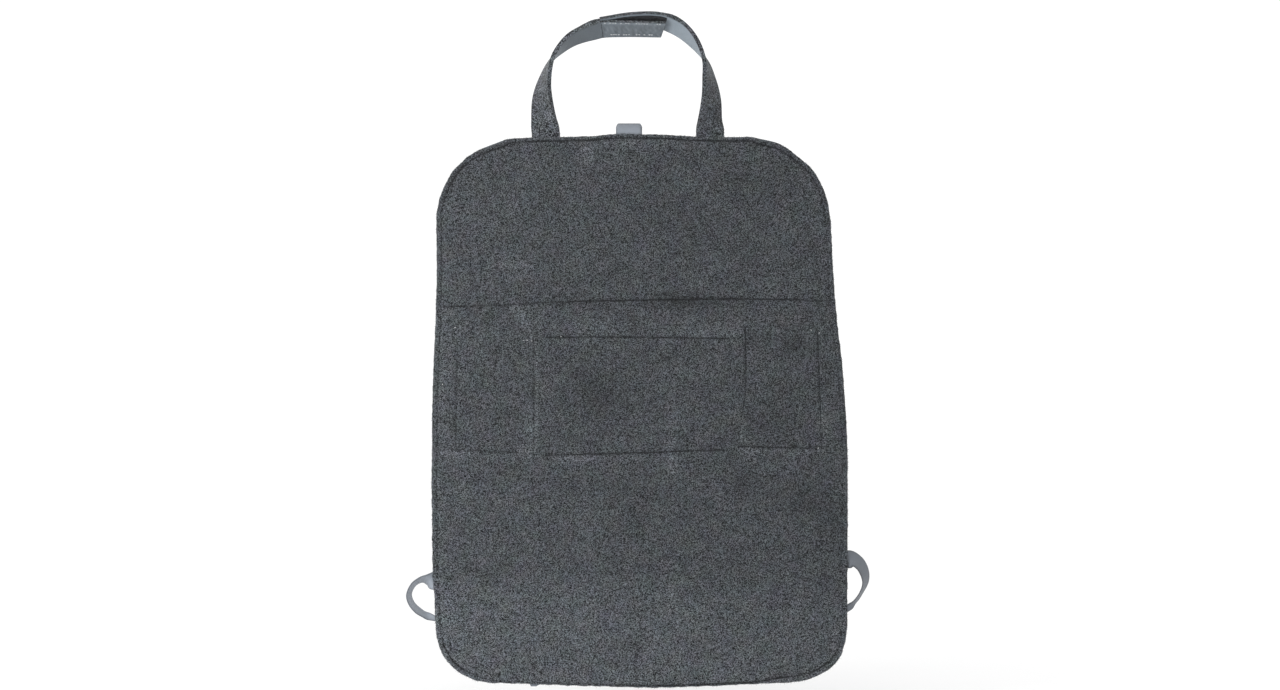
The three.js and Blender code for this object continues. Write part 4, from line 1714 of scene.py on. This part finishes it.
@dataclass
class FrontSheet:
    """Lined front sheet with its mouth hem, bulged over the upper sleeve."""

    outline: SheetOutline
    finishes: Finishes
    sleeve: UpperSleeve = UpperSleeve()
    wrinkles: Waves = Waves(0.06, 0.0004, 51)
    fold: float = 0.0017
    corner_left: float = -0.1118
    corner_width: float = 0.016
    corner_low: float = -0.2757
    corner_height: float = 0.005
    corner_depth: float = 0.00265
    corner_thickness: float = 0.0002
    flat: tuple[float, float] = (0.417, 0.553)
    area: float = 0.2235

    def depth(self, x: Array, z: Array) -> Array:
        """Depth of the sheet's face towards the felt."""
        calm = smooth((z - 0.125) / 0.03) * smooth((0.262 - z) / 0.02)
        return FRONT_BASE + self.sleeve.bulge(x, z) + np.abs(self.wrinkles.at(x, z)) * calm

    def build(self) -> Piece:
        """Build the front sheet."""
        border = self.outline.loop(0.003)
        share = self.outline.mouth_share(border[:, 0], border[:, 1])
        border[:, 1] -= self.fold * share
        rings = [offset_loop(border, inset) for inset in (0.0006, 0.0016)]
        spread = hexagon_grid(offset_loop(border, 0.004), 0.0055)
        cut = Cut.of(border, np.vstack([*rings, spread]))
        shell = even_sheet(cut, self.depth(*cut.corners.T), FRONT_THICKNESS, 0.0004)
        return shell.piece("front_sheet", [self.finishes.lining], 60.0)

    def corner(self) -> Piece:
        """Small fold of the lining that shows under the bottom edge."""
        share = np.linspace(0.0, 1.0, 9)
        rows = []
        for up in share:
            left = self.corner_left + self.corner_width * 0.16 * (1.0 - up)
            right = self.corner_left + self.corner_width * (1.0 - 0.5 * (1.0 - up))
            level = self.corner_low + self.corner_height * up
            rows.append([(left + (right - left) * s, self.corner_depth, level) for s in share])
        tape = thicken(np.array(rows), self.corner_thickness)
        tape.values["nap"] = np.full(len(tape.vertices), 0.6)
        return tape.piece("lining_corner", [self.finishes.lining])

    def hem(self) -> Piece:
        """Build the hem of the mouth."""
        x = np.linspace(-self.outline.mouth_left, self.outline.mouth_right, 90)
        z = self.outline.top_level(x) - self.fold
        y = self.depth(x, z) + FRONT_THICKNESS / 2.0
        points = np.stack([x, y, z], axis=1)
        row_depth = self.fold - 0.0002
        return mouth_tape("mouth_hem_tape", points, FRONT_THICKNESS, row_depth, self.finishes)

    def dress(self) -> None:
        """Build the sheet and its hem."""
        sheet = settle(self.build(), Slot.LINING, "front_panel")
        settle(self.corner(), Slot.LINING)
        hem = settle(self.hem(), Slot.BINDING, "mouth_hem")


@dataclass
class LowerPocket:
    """Wide pocket low on the front, with its hem."""

    outline: SheetOutline
    finishes: Finishes
    mouth: float = -0.061
    depth: float = 0.018
    straight: float = 0.016
    bottom: float = -0.2683
    reach: float = 0.1974
    hem_left: float = -0.2068
    hem_right: float = 0.2062
    row_depth: float = 0.0018
    mouth_points: int = 120
    wrinkles: Waves = Waves(0.07, 0.0005, 61)
    flat: tuple[float, float] = (0.425, 0.222)
    area: float = 0.0890

    def bulge(self, x: Array, z: Array) -> Array:
        """How far the pocket stands off the front sheet."""
        across = np.clip(np.abs(x) / self.reach, 0.0, 1.0)
        top = self.mouth - self.straight
        opened = np.sqrt(np.clip((z - self.bottom) / (top - self.bottom), 0.0, 1.0))
        room = (HEM_THICKNESS + LAYER_GAP) * smooth((z - self.mouth) / self.straight + 2.0)
        bulge = self.depth * opened * np.cos(across * math.pi / 2.0)
        soft = np.abs(self.wrinkles.at(x, z)) * opened * smooth((self.mouth - 0.012 - z) / 0.02)
        return bulge + room + soft * smooth((0.19 - np.abs(x)) / 0.03)

    def build(self) -> Piece:
        """Build the pocket's cloth."""
        loop = self.outline.loop(0.003)
        low = loop[loop[:, 1] < self.mouth - 0.002]
        gap = np.linalg.norm(np.roll(low, -1, axis=0) - low, axis=1)
        start = int(np.argmax(gap)) + 1
        low = np.roll(low, -start, axis=0)
        top = np.linspace(low[-1, 0], low[0, 0], self.mouth_points)
        mouth_line = np.stack([top, np.full(len(top), self.mouth)], axis=1)
        border = np.vstack([low, mouth_line])
        cut = Cut.of(border, hexagon_grid(offset_loop(border, 0.003), 0.005))
        near = POCKET_BASE + self.bulge(*cut.corners.T)
        shell = even_sheet(cut, near, POCKET_THICKNESS)
        return shell.piece("lower_pocket_cloth", [self.finishes.lining], 60.0)

    def hem(self) -> Piece:
        """Build the hem of the pocket's mouth."""
        x = np.linspace(self.hem_left, self.hem_right, 110)
        z = np.full(len(x), self.mouth)
        y = POCKET_BASE + self.bulge(x, z) + POCKET_THICKNESS / 2.0
        points = np.stack([x, y, z], axis=1)
        name = "lower_pocket_hem_tape"
        return mouth_tape(name, points, POCKET_THICKNESS, self.row_depth, self.finishes)

    def dress(self) -> None:
        """Build the pocket and its hem."""
        cloth = settle(self.build(), Slot.LINING, "lower_pocket")
        hem = settle(self.hem(), Slot.BINDING, "lower_pocket_hem")


@dataclass
class BottlePocket:
    """Side pocket with a D-shaped mouth, gathered at its foot.

    Its left and right seams have their places at the mouth in top, and at the foot in low.
    """

    finishes: Finishes
    side: str
    top: tuple[float, float]
    low: tuple[float, float]
    mouth: float
    bottom: float
    depth: float = 0.030
    foot: float = 0.034
    straight: float = 0.015
    hem_leaf: float = 0.008
    allowance: float = 0.004
    turned_in: float = 0.014
    pleat: float = 0.0011
    pleat_height: float = 0.055

    def row(self, level: float, depth: float) -> Array:
        """Points of the pocket's cloth at one level.

        Args:
            level: the level.
            depth: how far the cloth stands off there.

        Returns:
            The points, from left to right.
        """
        share = float(np.clip((level - self.bottom) / (self.mouth - self.bottom), 0.0, 1.0))
        left, right = (low + (top - low) * share for low, top in zip(self.low, self.top))
        base = POCKET_BASE + POCKET_THICKNESS / 2.0
        turn = np.linspace(0.0, math.pi, 37)
        x = (left + right) / 2.0 - (right - left) / 2.0 * np.cos(turn)
        low = smooth(1.0 - (level - self.bottom) / self.pleat_height)
        pleats = self.pleat * low * np.sin(turn * 15.0) * np.sin(turn)
        y = base + (depth + pleats) * np.sin(turn)
        flap = np.linspace(self.allowance, 0.0, 3)[:-1]
        x = np.concatenate([left - flap, x, (right + flap)[::-1]])
        y = np.concatenate([np.full(2, base), y, np.full(2, base)])
        return np.stack([x, y, np.full(len(x), level)], axis=1)

    def rows(self) -> Array:
        """Every row of the cloth, from the bottom up."""
        found = [self.row(self.bottom - self.allowance, 0.0)]
        for angle in np.linspace(0.0, math.pi / 2.0, 12):
            level = self.bottom + self.foot * (1.0 - math.cos(angle))
            found.append(self.row(level, self.depth * math.sin(angle)))
        first = self.bottom + self.foot
        for level in np.linspace(first, self.mouth, 18)[1:]:
            found.append(self.row(level, self.depth))
        return np.stack(found)

    def dress(self) -> None:
        """Build the pocket and its hem."""
        name = "bottle_pocket_" + self.side
        rows = self.rows()
        cloth = thicken(rows, POCKET_THICKNESS).piece(name + "_cloth", [self.finishes.lining])
        settle(cloth, Slot.LINING, name)
        points = rows[-1, 2:-2]
        below = self.row(self.mouth - self.straight, self.depth)[2:-2]
        along = unit(np.gradient(points, axis=0))
        out = unit(points - below)
        across = unit(np.cross(out, along))
        tape = hem_shell(points, across, out, POCKET_THICKNESS, self.hem_leaf)
        hem = tape.piece(name + "_hem_tape", [self.finishes.binding])
        settle(hem, Slot.BINDING, name + "_hem")


@dataclass
class TissuePocket:
    """Middle pocket: a band sewn at its top and bottom, with a bound slot."""

    finishes: Finishes
    left: float = -0.0935
    right: float = 0.0895
    top: float = 0.0735
    bottom: float = -0.042
    depth: float = 0.024
    flat_top: float = 0.044
    flat_bottom: float = -0.014
    slot_length: float = 0.118
    slot_height: float = 0.024
    binding: float = 0.005
    allowance: float = 0.004
    clear: float = 0.0012
    length: float = 0.143
    area: float = 0.0234

    def level_depth(self, z: Array) -> Array:
        """How far the band stands off at each level."""
        rising = smooth((z - self.bottom) / (self.flat_bottom - self.bottom))
        falling = smooth((self.top - z) / (self.top - self.flat_top))
        return self.depth * np.minimum(rising, falling)

    def slot_loop(self, margin: float, count: int = 40) -> Array:
        """Round-ended slot, widened by a margin, in turn with the clock."""
        middle = (self.flat_top + self.flat_bottom) / 2.0
        centre = (self.left + self.right) / 2.0
        radius = self.slot_height / 2.0 + margin
        run = (self.slot_length - self.slot_height) / 2.0
        turn = np.linspace(math.pi / 2.0, -math.pi / 2.0, count // 2)
        right = np.stack([centre + run + radius * np.cos(turn), middle + radius * np.sin(turn)], 1)
        left = np.stack([centre - run - radius * np.cos(turn), middle - radius * np.sin(turn)], 1)
        return np.vstack([right, left])

    def build(self) -> Piece:
        """Build the band with its slot."""
        low, high = self.bottom - self.allowance, self.top + self.allowance
        levels = np.linspace(low, high, 52)
        sides = np.linspace(self.left, self.right, 70)
        slot = self.slot_loop(0.0)
        border = [(x, low) for x in sides[:-1]]
        border += [(self.right, z) for z in levels[:-1]]
        border += [(x, high) for x in sides[:0:-1]]
        border += [(self.left, z) for z in levels[:0:-1]]
        spread = hexagon_grid(offset_loop(np.array(border), 0.0015), 0.0028)
        away = np.min(np.linalg.norm(spread[:, None] - slot[None], axis=2), axis=1)
        spread = spread[(away > self.clear) & ~inside(slot, spread)]
        cut = Cut.of(np.array(border), np.vstack([self.slot_loop(self.clear), spread]), slot)
        near = POCKET_BASE + self.level_depth(cut.corners[:, 1])
        shell = sheet_shell(cut, near, cut, near + POCKET_THICKNESS)
        return shell.piece("tissue_pocket_cloth", [self.finishes.lining], 60.0)

    def slot_tape(self) -> Piece:
        """Binding round the slot, with its stitches."""
        share = np.linspace(0.0, 1.0, 7)
        front = POCKET_BASE + self.depth + POCKET_THICKNESS + LAYER_GAP + HEM_THICKNESS / 2.0
        loops = []
        for t in share:
            loop = self.slot_loop(self.binding * t, 96)
            crown = 0.0002 * math.sin(math.pi * t)
            y = np.full(len(loop), front + crown)
            loops.append(np.stack([loop[:, 0], y, loop[:, 1]], axis=1))
        ring = np.stack(loops, axis=1)
        ring = np.concatenate([ring, ring[:1]], axis=0)
        tape = thicken(ring, HEM_THICKNESS)
        row = ring[:, 4] + np.array([0.0, HEM_THICKNESS / 2.0, 0.0])
        return sewn_tape("tissue_slot_tape", tape, row, self.finishes)

    def dress(self) -> None:
        """Build the pocket and its binding."""
        cloth = settle(self.build(), Slot.LINING, "tissue_pocket")
        tape = settle(self.slot_tape(), Slot.BINDING, "tissue_slot_binding")


# Strap, tab and loops


@dataclass(frozen=True)
class Ribbon:
    """A twisted ribbon.

    Attributes:
        stations: place in X and Z, twist out of the X-Z plane in degrees, and share of the width.
        width: its full width.
        depth: depth of its middle line.
        inward: 1 where it bends to the right, or -1 to the left.
        slant: how far the near edge runs past the far one at the end.
        slant_reach: length over which it comes to do so.
        rim: shares of the width from the edge to near the middle, where points lie.
    """

    stations: tuple
    width: float
    depth: float
    inward: float = 1.0
    slant: float = 0.0
    slant_reach: float = 0.02
    rim: tuple = (0.0, 0.02, 0.05, 0.1, 0.2, 0.35)

    def grid(self, spacing: float, offset: float = 0.0, start: float = 0.0) -> Array:
        """Points of the ribbon's middle layer.

        Args:
            spacing: distance between rows.
            offset: how far the layer lies outside the middle.
            start: share of the length where it starts.

        Returns:
            Points by row and column.
        """
        line = spline([(*station, 1.0)[:4] for station in self.stations], spacing)
        x, z, twist, breadth = line.T
        heading = unit(np.gradient(line[:, :2], axis=0))
        tangent = np.stack([heading[:, 0], np.zeros(len(x)), heading[:, 1]], axis=1)
        angle = np.radians(twist)[:, None]
        side = np.stack([tangent[:, 2], np.zeros(len(x)), -tangent[:, 0]], axis=1) * self.inward
        across = side * np.cos(angle) + np.array([0.0, -1.0, 0.0]) * np.sin(angle)
        normal = np.cross(across, tangent) * self.inward
        centre = np.stack([x, np.full(len(x), self.depth), z], axis=1) + normal * offset
        columns = np.array([*self.rim, 0.5, *(1.0 - share for share in self.rim[::-1])])
        reach = (columns - 0.5)[None, :, None] * (self.width * breadth)[:, None, None]
        points = centre[:, None, :] + across[:, None, :] * reach
        before = np.arange(len(x)) * spacing - (len(x) * spacing - self.slant_reach)
        late = smooth(before / self.slant_reach)
        shift = (columns - 0.5)[None, :] * late[:, None] * self.slant
        points += tangent[:, None, :] * shift[..., None]
        points = points[int(start * (len(x) - 1)) :]
        return points if self.inward > 0 else points[:, ::-1]


@dataclass
class CarryStrap:
    """Two felt-faced ribbons, joined by a hook and a loop tape."""

    finishes: Finishes
    width: float = 0.028
    thickness: float = 0.0022
    closure_width: float = 0.023
    closure_thickness: float = 0.0007
    depth: float = 0.0039
    loft: float = 0.0021
    pressed_loft: float = 0.0004
    swell: float = 0.0026
    top_swell: float = 0.0008
    # Painted light on the left half's felt.
    left_felt_painted_light: float = 0.22
    # Painted shade on the left half's lining and painted light on the right half's.
    left_lining_painted_shade: float = -0.5
    right_lining_painted_light: float = 0.08
    patch_tone: float = -0.05
    fluff_tone: float = 0.22
    patch_start: float = -0.039
    shade_level: float = 0.372
    loop_start: float = 0.735
    hook_start: float = 0.708
    stitched: float = 0.062
    left: tuple = (
        (-0.0943, 0.2505, 0.0), (-0.0943, 0.278, 3.0), (-0.0962, 0.29, 29.0),
        (-0.0979, 0.313, 50.0), (-0.0961, 0.3286, 65.0), (-0.0888, 0.3512, 84.0),
        (-0.0797, 0.3627, 96.5), (-0.066, 0.3735, 107.5), (-0.04, 0.3819, 116.0),
        (-0.0163, 0.3826, 114.0), (0.0235, 0.382, 113.0),
    )
    right: tuple = (
        (0.0702, 0.2505, 0.0), (0.0702, 0.278, 3.0), (0.0702, 0.289, 33.0),
        (0.0714, 0.313, 52.5), (0.0694, 0.332, 66.5), (0.0654, 0.3508, 83.0),
        (0.053, 0.3706, 103.0), (0.0392, 0.3832, 112.0), (0.022, 0.3902, 113.0),
        (-0.006, 0.3906, 114.0), (-0.0392, 0.3851, 116.0),
    )

    def half(self, name: str, ribbon: Ribbon) -> Piece:
        """Build one half of the strap.

        Args:
            name: the piece's name.
            ribbon: its course.

        Returns:
            The half, felt outside and lined inside.
        """
        grid = ribbon.grid(0.0016)
        rows, columns = grid.shape[:2]
        share = np.linspace(0.0, 1.0, rows)
        least = self.pressed_loft / self.loft
        pressed = smooth((0.73 - share) / 0.05) * (1.0 - least)
        loft = self.loft * smooth((share - 0.05) / 0.12) * (least + pressed)
        shell = thicken(grid, self.thickness, 0.94, 0.0009, loft)
        leftward = float(ribbon.inward > 0)
        hump = smooth((share - 0.62) / 0.1) * smooth((self.loop_start - share) / 0.012) * leftward
        hump = self.swell * hump + self.top_swell * (1.0 - leftward) * smooth((share - 0.6) / 0.1)
        outer = shell.vertices[: rows * columns] - grid.reshape(-1, 3)
        shell.vertices[: rows * columns] += unit(outer) * np.repeat(hump, columns)[:, None]
        shell.sides = [0, 1, 0]
        nap = Waves(0.016, 0.1, 72).at(grid[..., 0], grid[..., 2]).ravel()
        rise = smooth((grid[..., 2] - 0.300) / 0.08).ravel()
        low = grid[..., 2].ravel() - self.shade_level
        # Painted light and shade on the lining: the left half darker, the right half lighter, and
        # the left half lighter below the shade level.
        lining = self.left_lining_painted_shade * leftward + self.right_lining_painted_light * (1.0 - leftward)
        lining = lining + 0.35 * smooth(-low / 0.03) * leftward
        patch = leftward * (grid[..., 0].ravel() > self.patch_start)
        rub = Waves(0.0042, 0.09, 75).at(grid[..., 0], grid[..., 1] * 1.7).ravel()
        fluff = np.tile(np.where(np.arange(columns) > 8, self.fluff_tone, 0.0), rows)
        lining += patch * (rub + fluff - self.patch_tone)
        # Painted light: the left half's felt lighter than the right's, and the felt lighter
        # towards the top.
        felt = nap + self.left_felt_painted_light * leftward + 0.35 * rise
        shell.values["nap"] = np.tile(felt, 2)
        shell.values["lining_tone"] = np.concatenate([np.zeros(rows * columns), lining])
        return shell.piece(name, [self.finishes.strap_felt, self.finishes.strap_lining], 70.0)

    def fibres(self, ribbons: Sequence[Ribbon]) -> Piece:
        """Loose fibres along the strap's edges."""
        rng = np.random.default_rng(13)
        roots, outward = [], []
        for ribbon in ribbons:
            grid = ribbon.grid(0.0006, self.thickness * 0.3)
            for edge, inner in ((0, 2), (-1, -3)):
                lean = unit(grid[:, edge] - grid[:, inner])
                roots.append(grid[:, edge] + rng.normal(0.0, 0.0002, (len(grid), 3)))
                outward.append(lean)
        shell = Fuzz(length=0.0013).grow(np.vstack(roots), np.vstack(outward))
        return shell.piece("strap_edge_fibres", [self.finishes.fibres])

    def closure_stitches(self, ribbon: Ribbon) -> Piece:
        """Stitches of the closure tape, seen on the lined face of the left half."""
        grid = ribbon.grid(0.0008, -(self.thickness + self.pressed_loft) / 2.0)
        last = len(grid) - 1
        start = last - int(self.stitched / 0.0008)
        out = unit(grid[last, 6] - ribbon.grid(0.0008)[last, 6])
        whole = Stitching(pitch=0.0027, radius=0.0003, seed=3).row(grid[start, 2:11], out)
        dark_faces = len(whole.faces)
        for column, radius in ((4, 0.00048), (10, 0.00036)):
            line = grid[start + 3 : last - 4, column]
            pale = Stitching(pitch=0.0025, radius=radius, lift=0.0003, seed=column)
            whole = whole.joined(pale.row(line, out, np.full(len(line), 0.6)))
        shown = [self.finishes.thread, self.finishes.pale_thread]
        whole.sides = [0] * dark_faces + [1] * (len(whole.faces) - dark_faces)
        return whole.piece("closure_stitches", shown)

    def tape(self, name: str, ribbon: Ribbon, side: float) -> Piece:
        """Build one closure tape.

        Args:
            name: the piece's name.
            ribbon: the course of its half of the strap.
            side: 1 where it lies on the felt face, or -1 on the lined face.

        Returns:
            The tape.
        """
        narrow = replace(ribbon, width=self.closure_width)
        offset = side * (self.thickness / 2.0 + LAYER_GAP + self.closure_thickness / 2.0)
        grid = narrow.grid(0.0012, offset, self.loop_start if side > 0 else self.hook_start)
        return thicken(grid, self.closure_thickness).piece(name, [self.finishes.pile])

    def dress(self) -> None:
        """Build the strap."""
        left = Ribbon(self.left, self.width, self.depth, slant=0.0045)
        right = Ribbon(self.right, self.width, self.depth, -1.0)
        settle(self.half("strap_left_half", left), Slot.FELT, "strap_left")
        settle(self.half("strap_right_half", right), Slot.FELT, "strap_right")
        for name, ribbon, side in (("loop_tape", left, 1.0), ("hook_tape", right, -1.0)):
            settle(self.tape(name, ribbon, side), Slot.HOOK_AND_LOOP, "strap_" + name)
        settle(self.closure_stitches(left), Slot.THREAD)
        settle(self.fibres([left, right]), Slot.FELT)


@dataclass
class ClosingTab:
    """Grey tape from inside the sleeve, over the mouth and down the front."""

    finishes: Finishes
    width: float = 0.026
    x: float = -0.011
    thickness: float = 0.0012
    inner: float = 0.0034
    outer: float = 0.0244
    spring: float = 0.2768
    rise: float = 0.0115
    tail: float = 0.036
    drop: float = 0.040
    patch: tuple[float, float] = (0.022, 0.020)
    patch_thickness: float = 0.0011

    def build(self) -> Piece:
        """Build the tab."""
        tail = np.linspace(self.spring - self.tail, self.spring, 12)[:-1]
        drop = np.linspace(self.spring, self.spring - self.drop, 14)[1:]
        turn = np.linspace(math.pi, 0.0, 21)
        middle, half = (self.inner + self.outer) / 2.0, (self.outer - self.inner) / 2.0
        edge = np.array([0.4, 0.7, 0.84, 0.92, 0.97, 1.0])
        share = np.concatenate([-edge[::-1], [0.0], edge])
        corner = 1.0 - 0.3 * smooth((np.abs(share) - 0.8) / 0.2) ** 1.6
        places = [(self.inner, level, 0.0) for level in tail]
        for angle in turn:
            y = middle + half * math.cos(angle)
            places.append((y, self.spring, self.rise * math.sin(angle)))
        places += [(self.outer, level, 0.0) for level in drop]
        across = list(zip(self.x + share * self.width / 2.0, corner))
        rows = [[(x, y, z + lift * c) for x, c in across] for y, z, lift in places]
        tape = thicken(np.array(rows), self.thickness)
        # Painted shade over the crest where the tab folds over the mouth.
        fold = smooth((np.sin(turn) - 0.82) / 0.16)
        painted_fold_shade = np.concatenate([np.zeros(len(tail)), fold, np.zeros(len(drop))])
        tape.values["nap"] = np.tile(np.repeat(-0.3 * painted_fold_shade, len(share)), 2)
        return tape.piece("closing_tab_tape", [self.finishes.tape])

    def pad(self, name: str, near: float) -> Piece:
        """Hook or loop patch under the tab's end.

        Args:
            name: the piece's name.
            near: depth of its near face.

        Returns:
            The patch.
        """
        width, length = self.patch
        low = self.spring - LAYER_GAP - self.drop + 0.001
        share = np.concatenate([[0.0, 0.03], np.linspace(0.08, 0.92, 9), [0.97, 1.0]])
        x = self.x + (share - 0.5) * width
        z = low + share * length
        y = near + self.patch_thickness / 2.0
        grid = np.array([[(px, y, pz) for px in x] for pz in z])
        return thicken(grid, self.patch_thickness, 0.7).piece(name, [self.finishes.pile])

    def dress(self) -> None:
        """Build the tab and its patches."""
        settle(self.build(), Slot.TAPE, "closing_tab")
        for node in ("tab_loop_patch", "tab_hook_patch"):
            low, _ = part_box(node)
            settle(self.pad(node + "_pile", low[1]), Slot.HOOK_AND_LOOP, node)


@dataclass
class SideLoop:
    """Grey tape loop low on one edge of the sheets."""

    side: str
    stations: tuple
    finishes: Finishes
    # Painted light on the loop: lighter above 0, darker below.
    tone: float = 0.0
    width: float = 0.018
    thickness: float = 0.0009
    depth: float = 0.00265

    def dress(self) -> None:
        """Build the loop."""
        ribbon = Ribbon(self.stations, self.width, self.depth)
        shell = thicken(ribbon.grid(0.0011), self.thickness, 0.7, 0.0008)
        shell.values["nap"] = np.full(len(shell.vertices), self.tone)
        piece = shell.piece("side_loop_" + self.side + "_tape", [self.finishes.tape], 70.0)
        settle(piece, Slot.TAPE, "side_loop_" + self.side)


# Side, places of the two seams at the mouth and at the foot, and levels of mouth and foot
BOTTLE_POCKETS = (
    ("left", (-0.1825, -0.106), (-0.1845, -0.106), 0.070, -0.042),
    ("right", (0.1055, 0.1775), (0.098, 0.182), 0.082, -0.0365),
)

# Stations of the side loops, from their upper end
LEFT_LOOP = (
    (-0.191, -0.17, 0.0, 1.0), (-0.2068, -0.17, 0.0, 1.0), (-0.2125, -0.169, 46.0, 1.0),
    (-0.2185, -0.169, 66.0, 1.0), (-0.2264, -0.1736, 75.0, 1.0), (-0.2312, -0.1836, 78.0, 1.0),
    (-0.229, -0.1922, 78.0, 1.0), (-0.2228, -0.1994, 76.0, 1.0), (-0.215, -0.2043, 64.0, 0.66),
    (-0.208, -0.2068, 18.0, 0.36), (-0.191, -0.211, 0.0, 0.36),
)
RIGHT_LOOP = (
    (0.193, -0.1485, 0.0, 1.0), (0.2078, -0.1485, 0.0, 1.0), (0.2146, -0.149, 40.0, 1.0),
    (0.2208, -0.154, 50.0, 1.0), (0.2248, -0.162, 56.0, 1.0), (0.2259, -0.1692, 63.0, 1.0),
    (0.2248, -0.175, 69.0, 1.0), (0.2221, -0.1808, 73.0, 1.0), (0.2184, -0.187, 73.0, 1.0),
    (0.2134, -0.1928, 62.0, 0.62), (0.2085, -0.1972, 15.0, 0.38), (0.193, -0.206, 0.0, 0.38),
)


@dataclass
class Organizer:
    """The whole organizer."""

    finishes: Finishes

    def dress(self) -> None:
        """Build every sub-assembly in order."""
        outline = SheetOutline()
        BackSheet(FeltFace(outline), self.finishes).dress()
        FrontSheet(outline, self.finishes).dress()
        LowerPocket(outline, self.finishes).dress()
        for side, top, low, mouth, bottom in BOTTLE_POCKETS:
            BottlePocket(self.finishes, side, top, low, mouth, bottom).dress()
        TissuePocket(self.finishes).dress()
        CarryStrap(self.finishes).dress()
        ClosingTab(self.finishes).dress()
        # Painted light on the left loop, painted shade on the right one.
        SideLoop("left", LEFT_LOOP, self.finishes, 0.25).dress()
        SideLoop("right", RIGHT_LOOP, self.finishes, -0.4).dress()


@dataclass
class Studio:
    """Pale floor, soft light and the camera straight in front of the felt face."""

    finishes: Finishes
    floor_level: float = -0.31
    floor_size: float = 14.0
    eye_level: float = 0.066
    frame_width: float = 1.28
    lens: float = 70.0
    sensor: float = 36.0
    sky: float = 1.08
    light_place: tuple[float, float, float] = (-1.3, -1.3, 0.0)
    light_aim: tuple[float, float, float] = (0.0, 0.0, -0.05)
    light_size: float = 0.7
    light_power: float = 19.0

    def floor(self) -> None:
        """Lay the floor."""
        side = np.linspace(-0.5, 0.5, 9) * self.floor_size
        grid = np.array([[(x, y, self.floor_level - 0.01) for x in side] for y in side])
        floor = thicken(grid, 0.02).piece("studio_floor", [self.finishes.floor])

    def key_light(self) -> None:
        """Hang the square soft light at the left."""
        lamp = bpy.data.lights.new("key_light", "AREA")
        lamp.shape = "SQUARE"
        lamp.size = self.light_size
        lamp.energy = self.light_power
        light = bpy.data.objects.new("key_light", lamp)
        light.location = self.light_place
        direction = Vector(self.light_aim) - Vector(self.light_place)
        light.rotation_euler = direction.to_track_quat("-Z", "Y").to_euler()
        bpy.context.scene.collection.objects.link(light)

    def camera(self) -> None:
        """Set the camera straight in front."""
        lens = bpy.data.cameras.new("front_camera")
        lens.lens = self.lens
        lens.sensor_width = self.sensor
        lens.clip_end = 100.0
        camera = bpy.data.objects.new("front_camera", lens)
        distance = self.lens / self.sensor * self.frame_width
        camera.location = (0.0, -distance, self.eye_level)
        camera.rotation_euler = (math.pi / 2.0, 0.0, 0.0)
        bpy.context.scene.collection.objects.link(camera)
        bpy.context.scene.camera = camera

    def sky_light(self) -> None:
        """Fill the room with plain white light."""
        world = bpy.data.worlds.new("studio_room")
        world.use_nodes = True
        backdrop = world.node_tree.nodes["Background"]
        backdrop.inputs["Color"].default_value = (1.0, 1.0, 1.0, 1.0)
        backdrop.inputs["Strength"].default_value = self.sky
        bpy.context.scene.world = world

    def build(self) -> None:
        """Set up the studio."""
        bpy.context.scene.view_settings.view_transform = "Standard"
        self.floor()
        self.camera()
        self.sky_light()
        self.key_light()


def main() -> None:
    """Build the studio and the organizer."""
    logging.basicConfig(level=logging.INFO, format="%(name)s: %(message)s")
    finishes = Finishes.build()
    Studio(finishes).build()
    Organizer(finishes).dress()


if __name__ == "__main__":
    main()
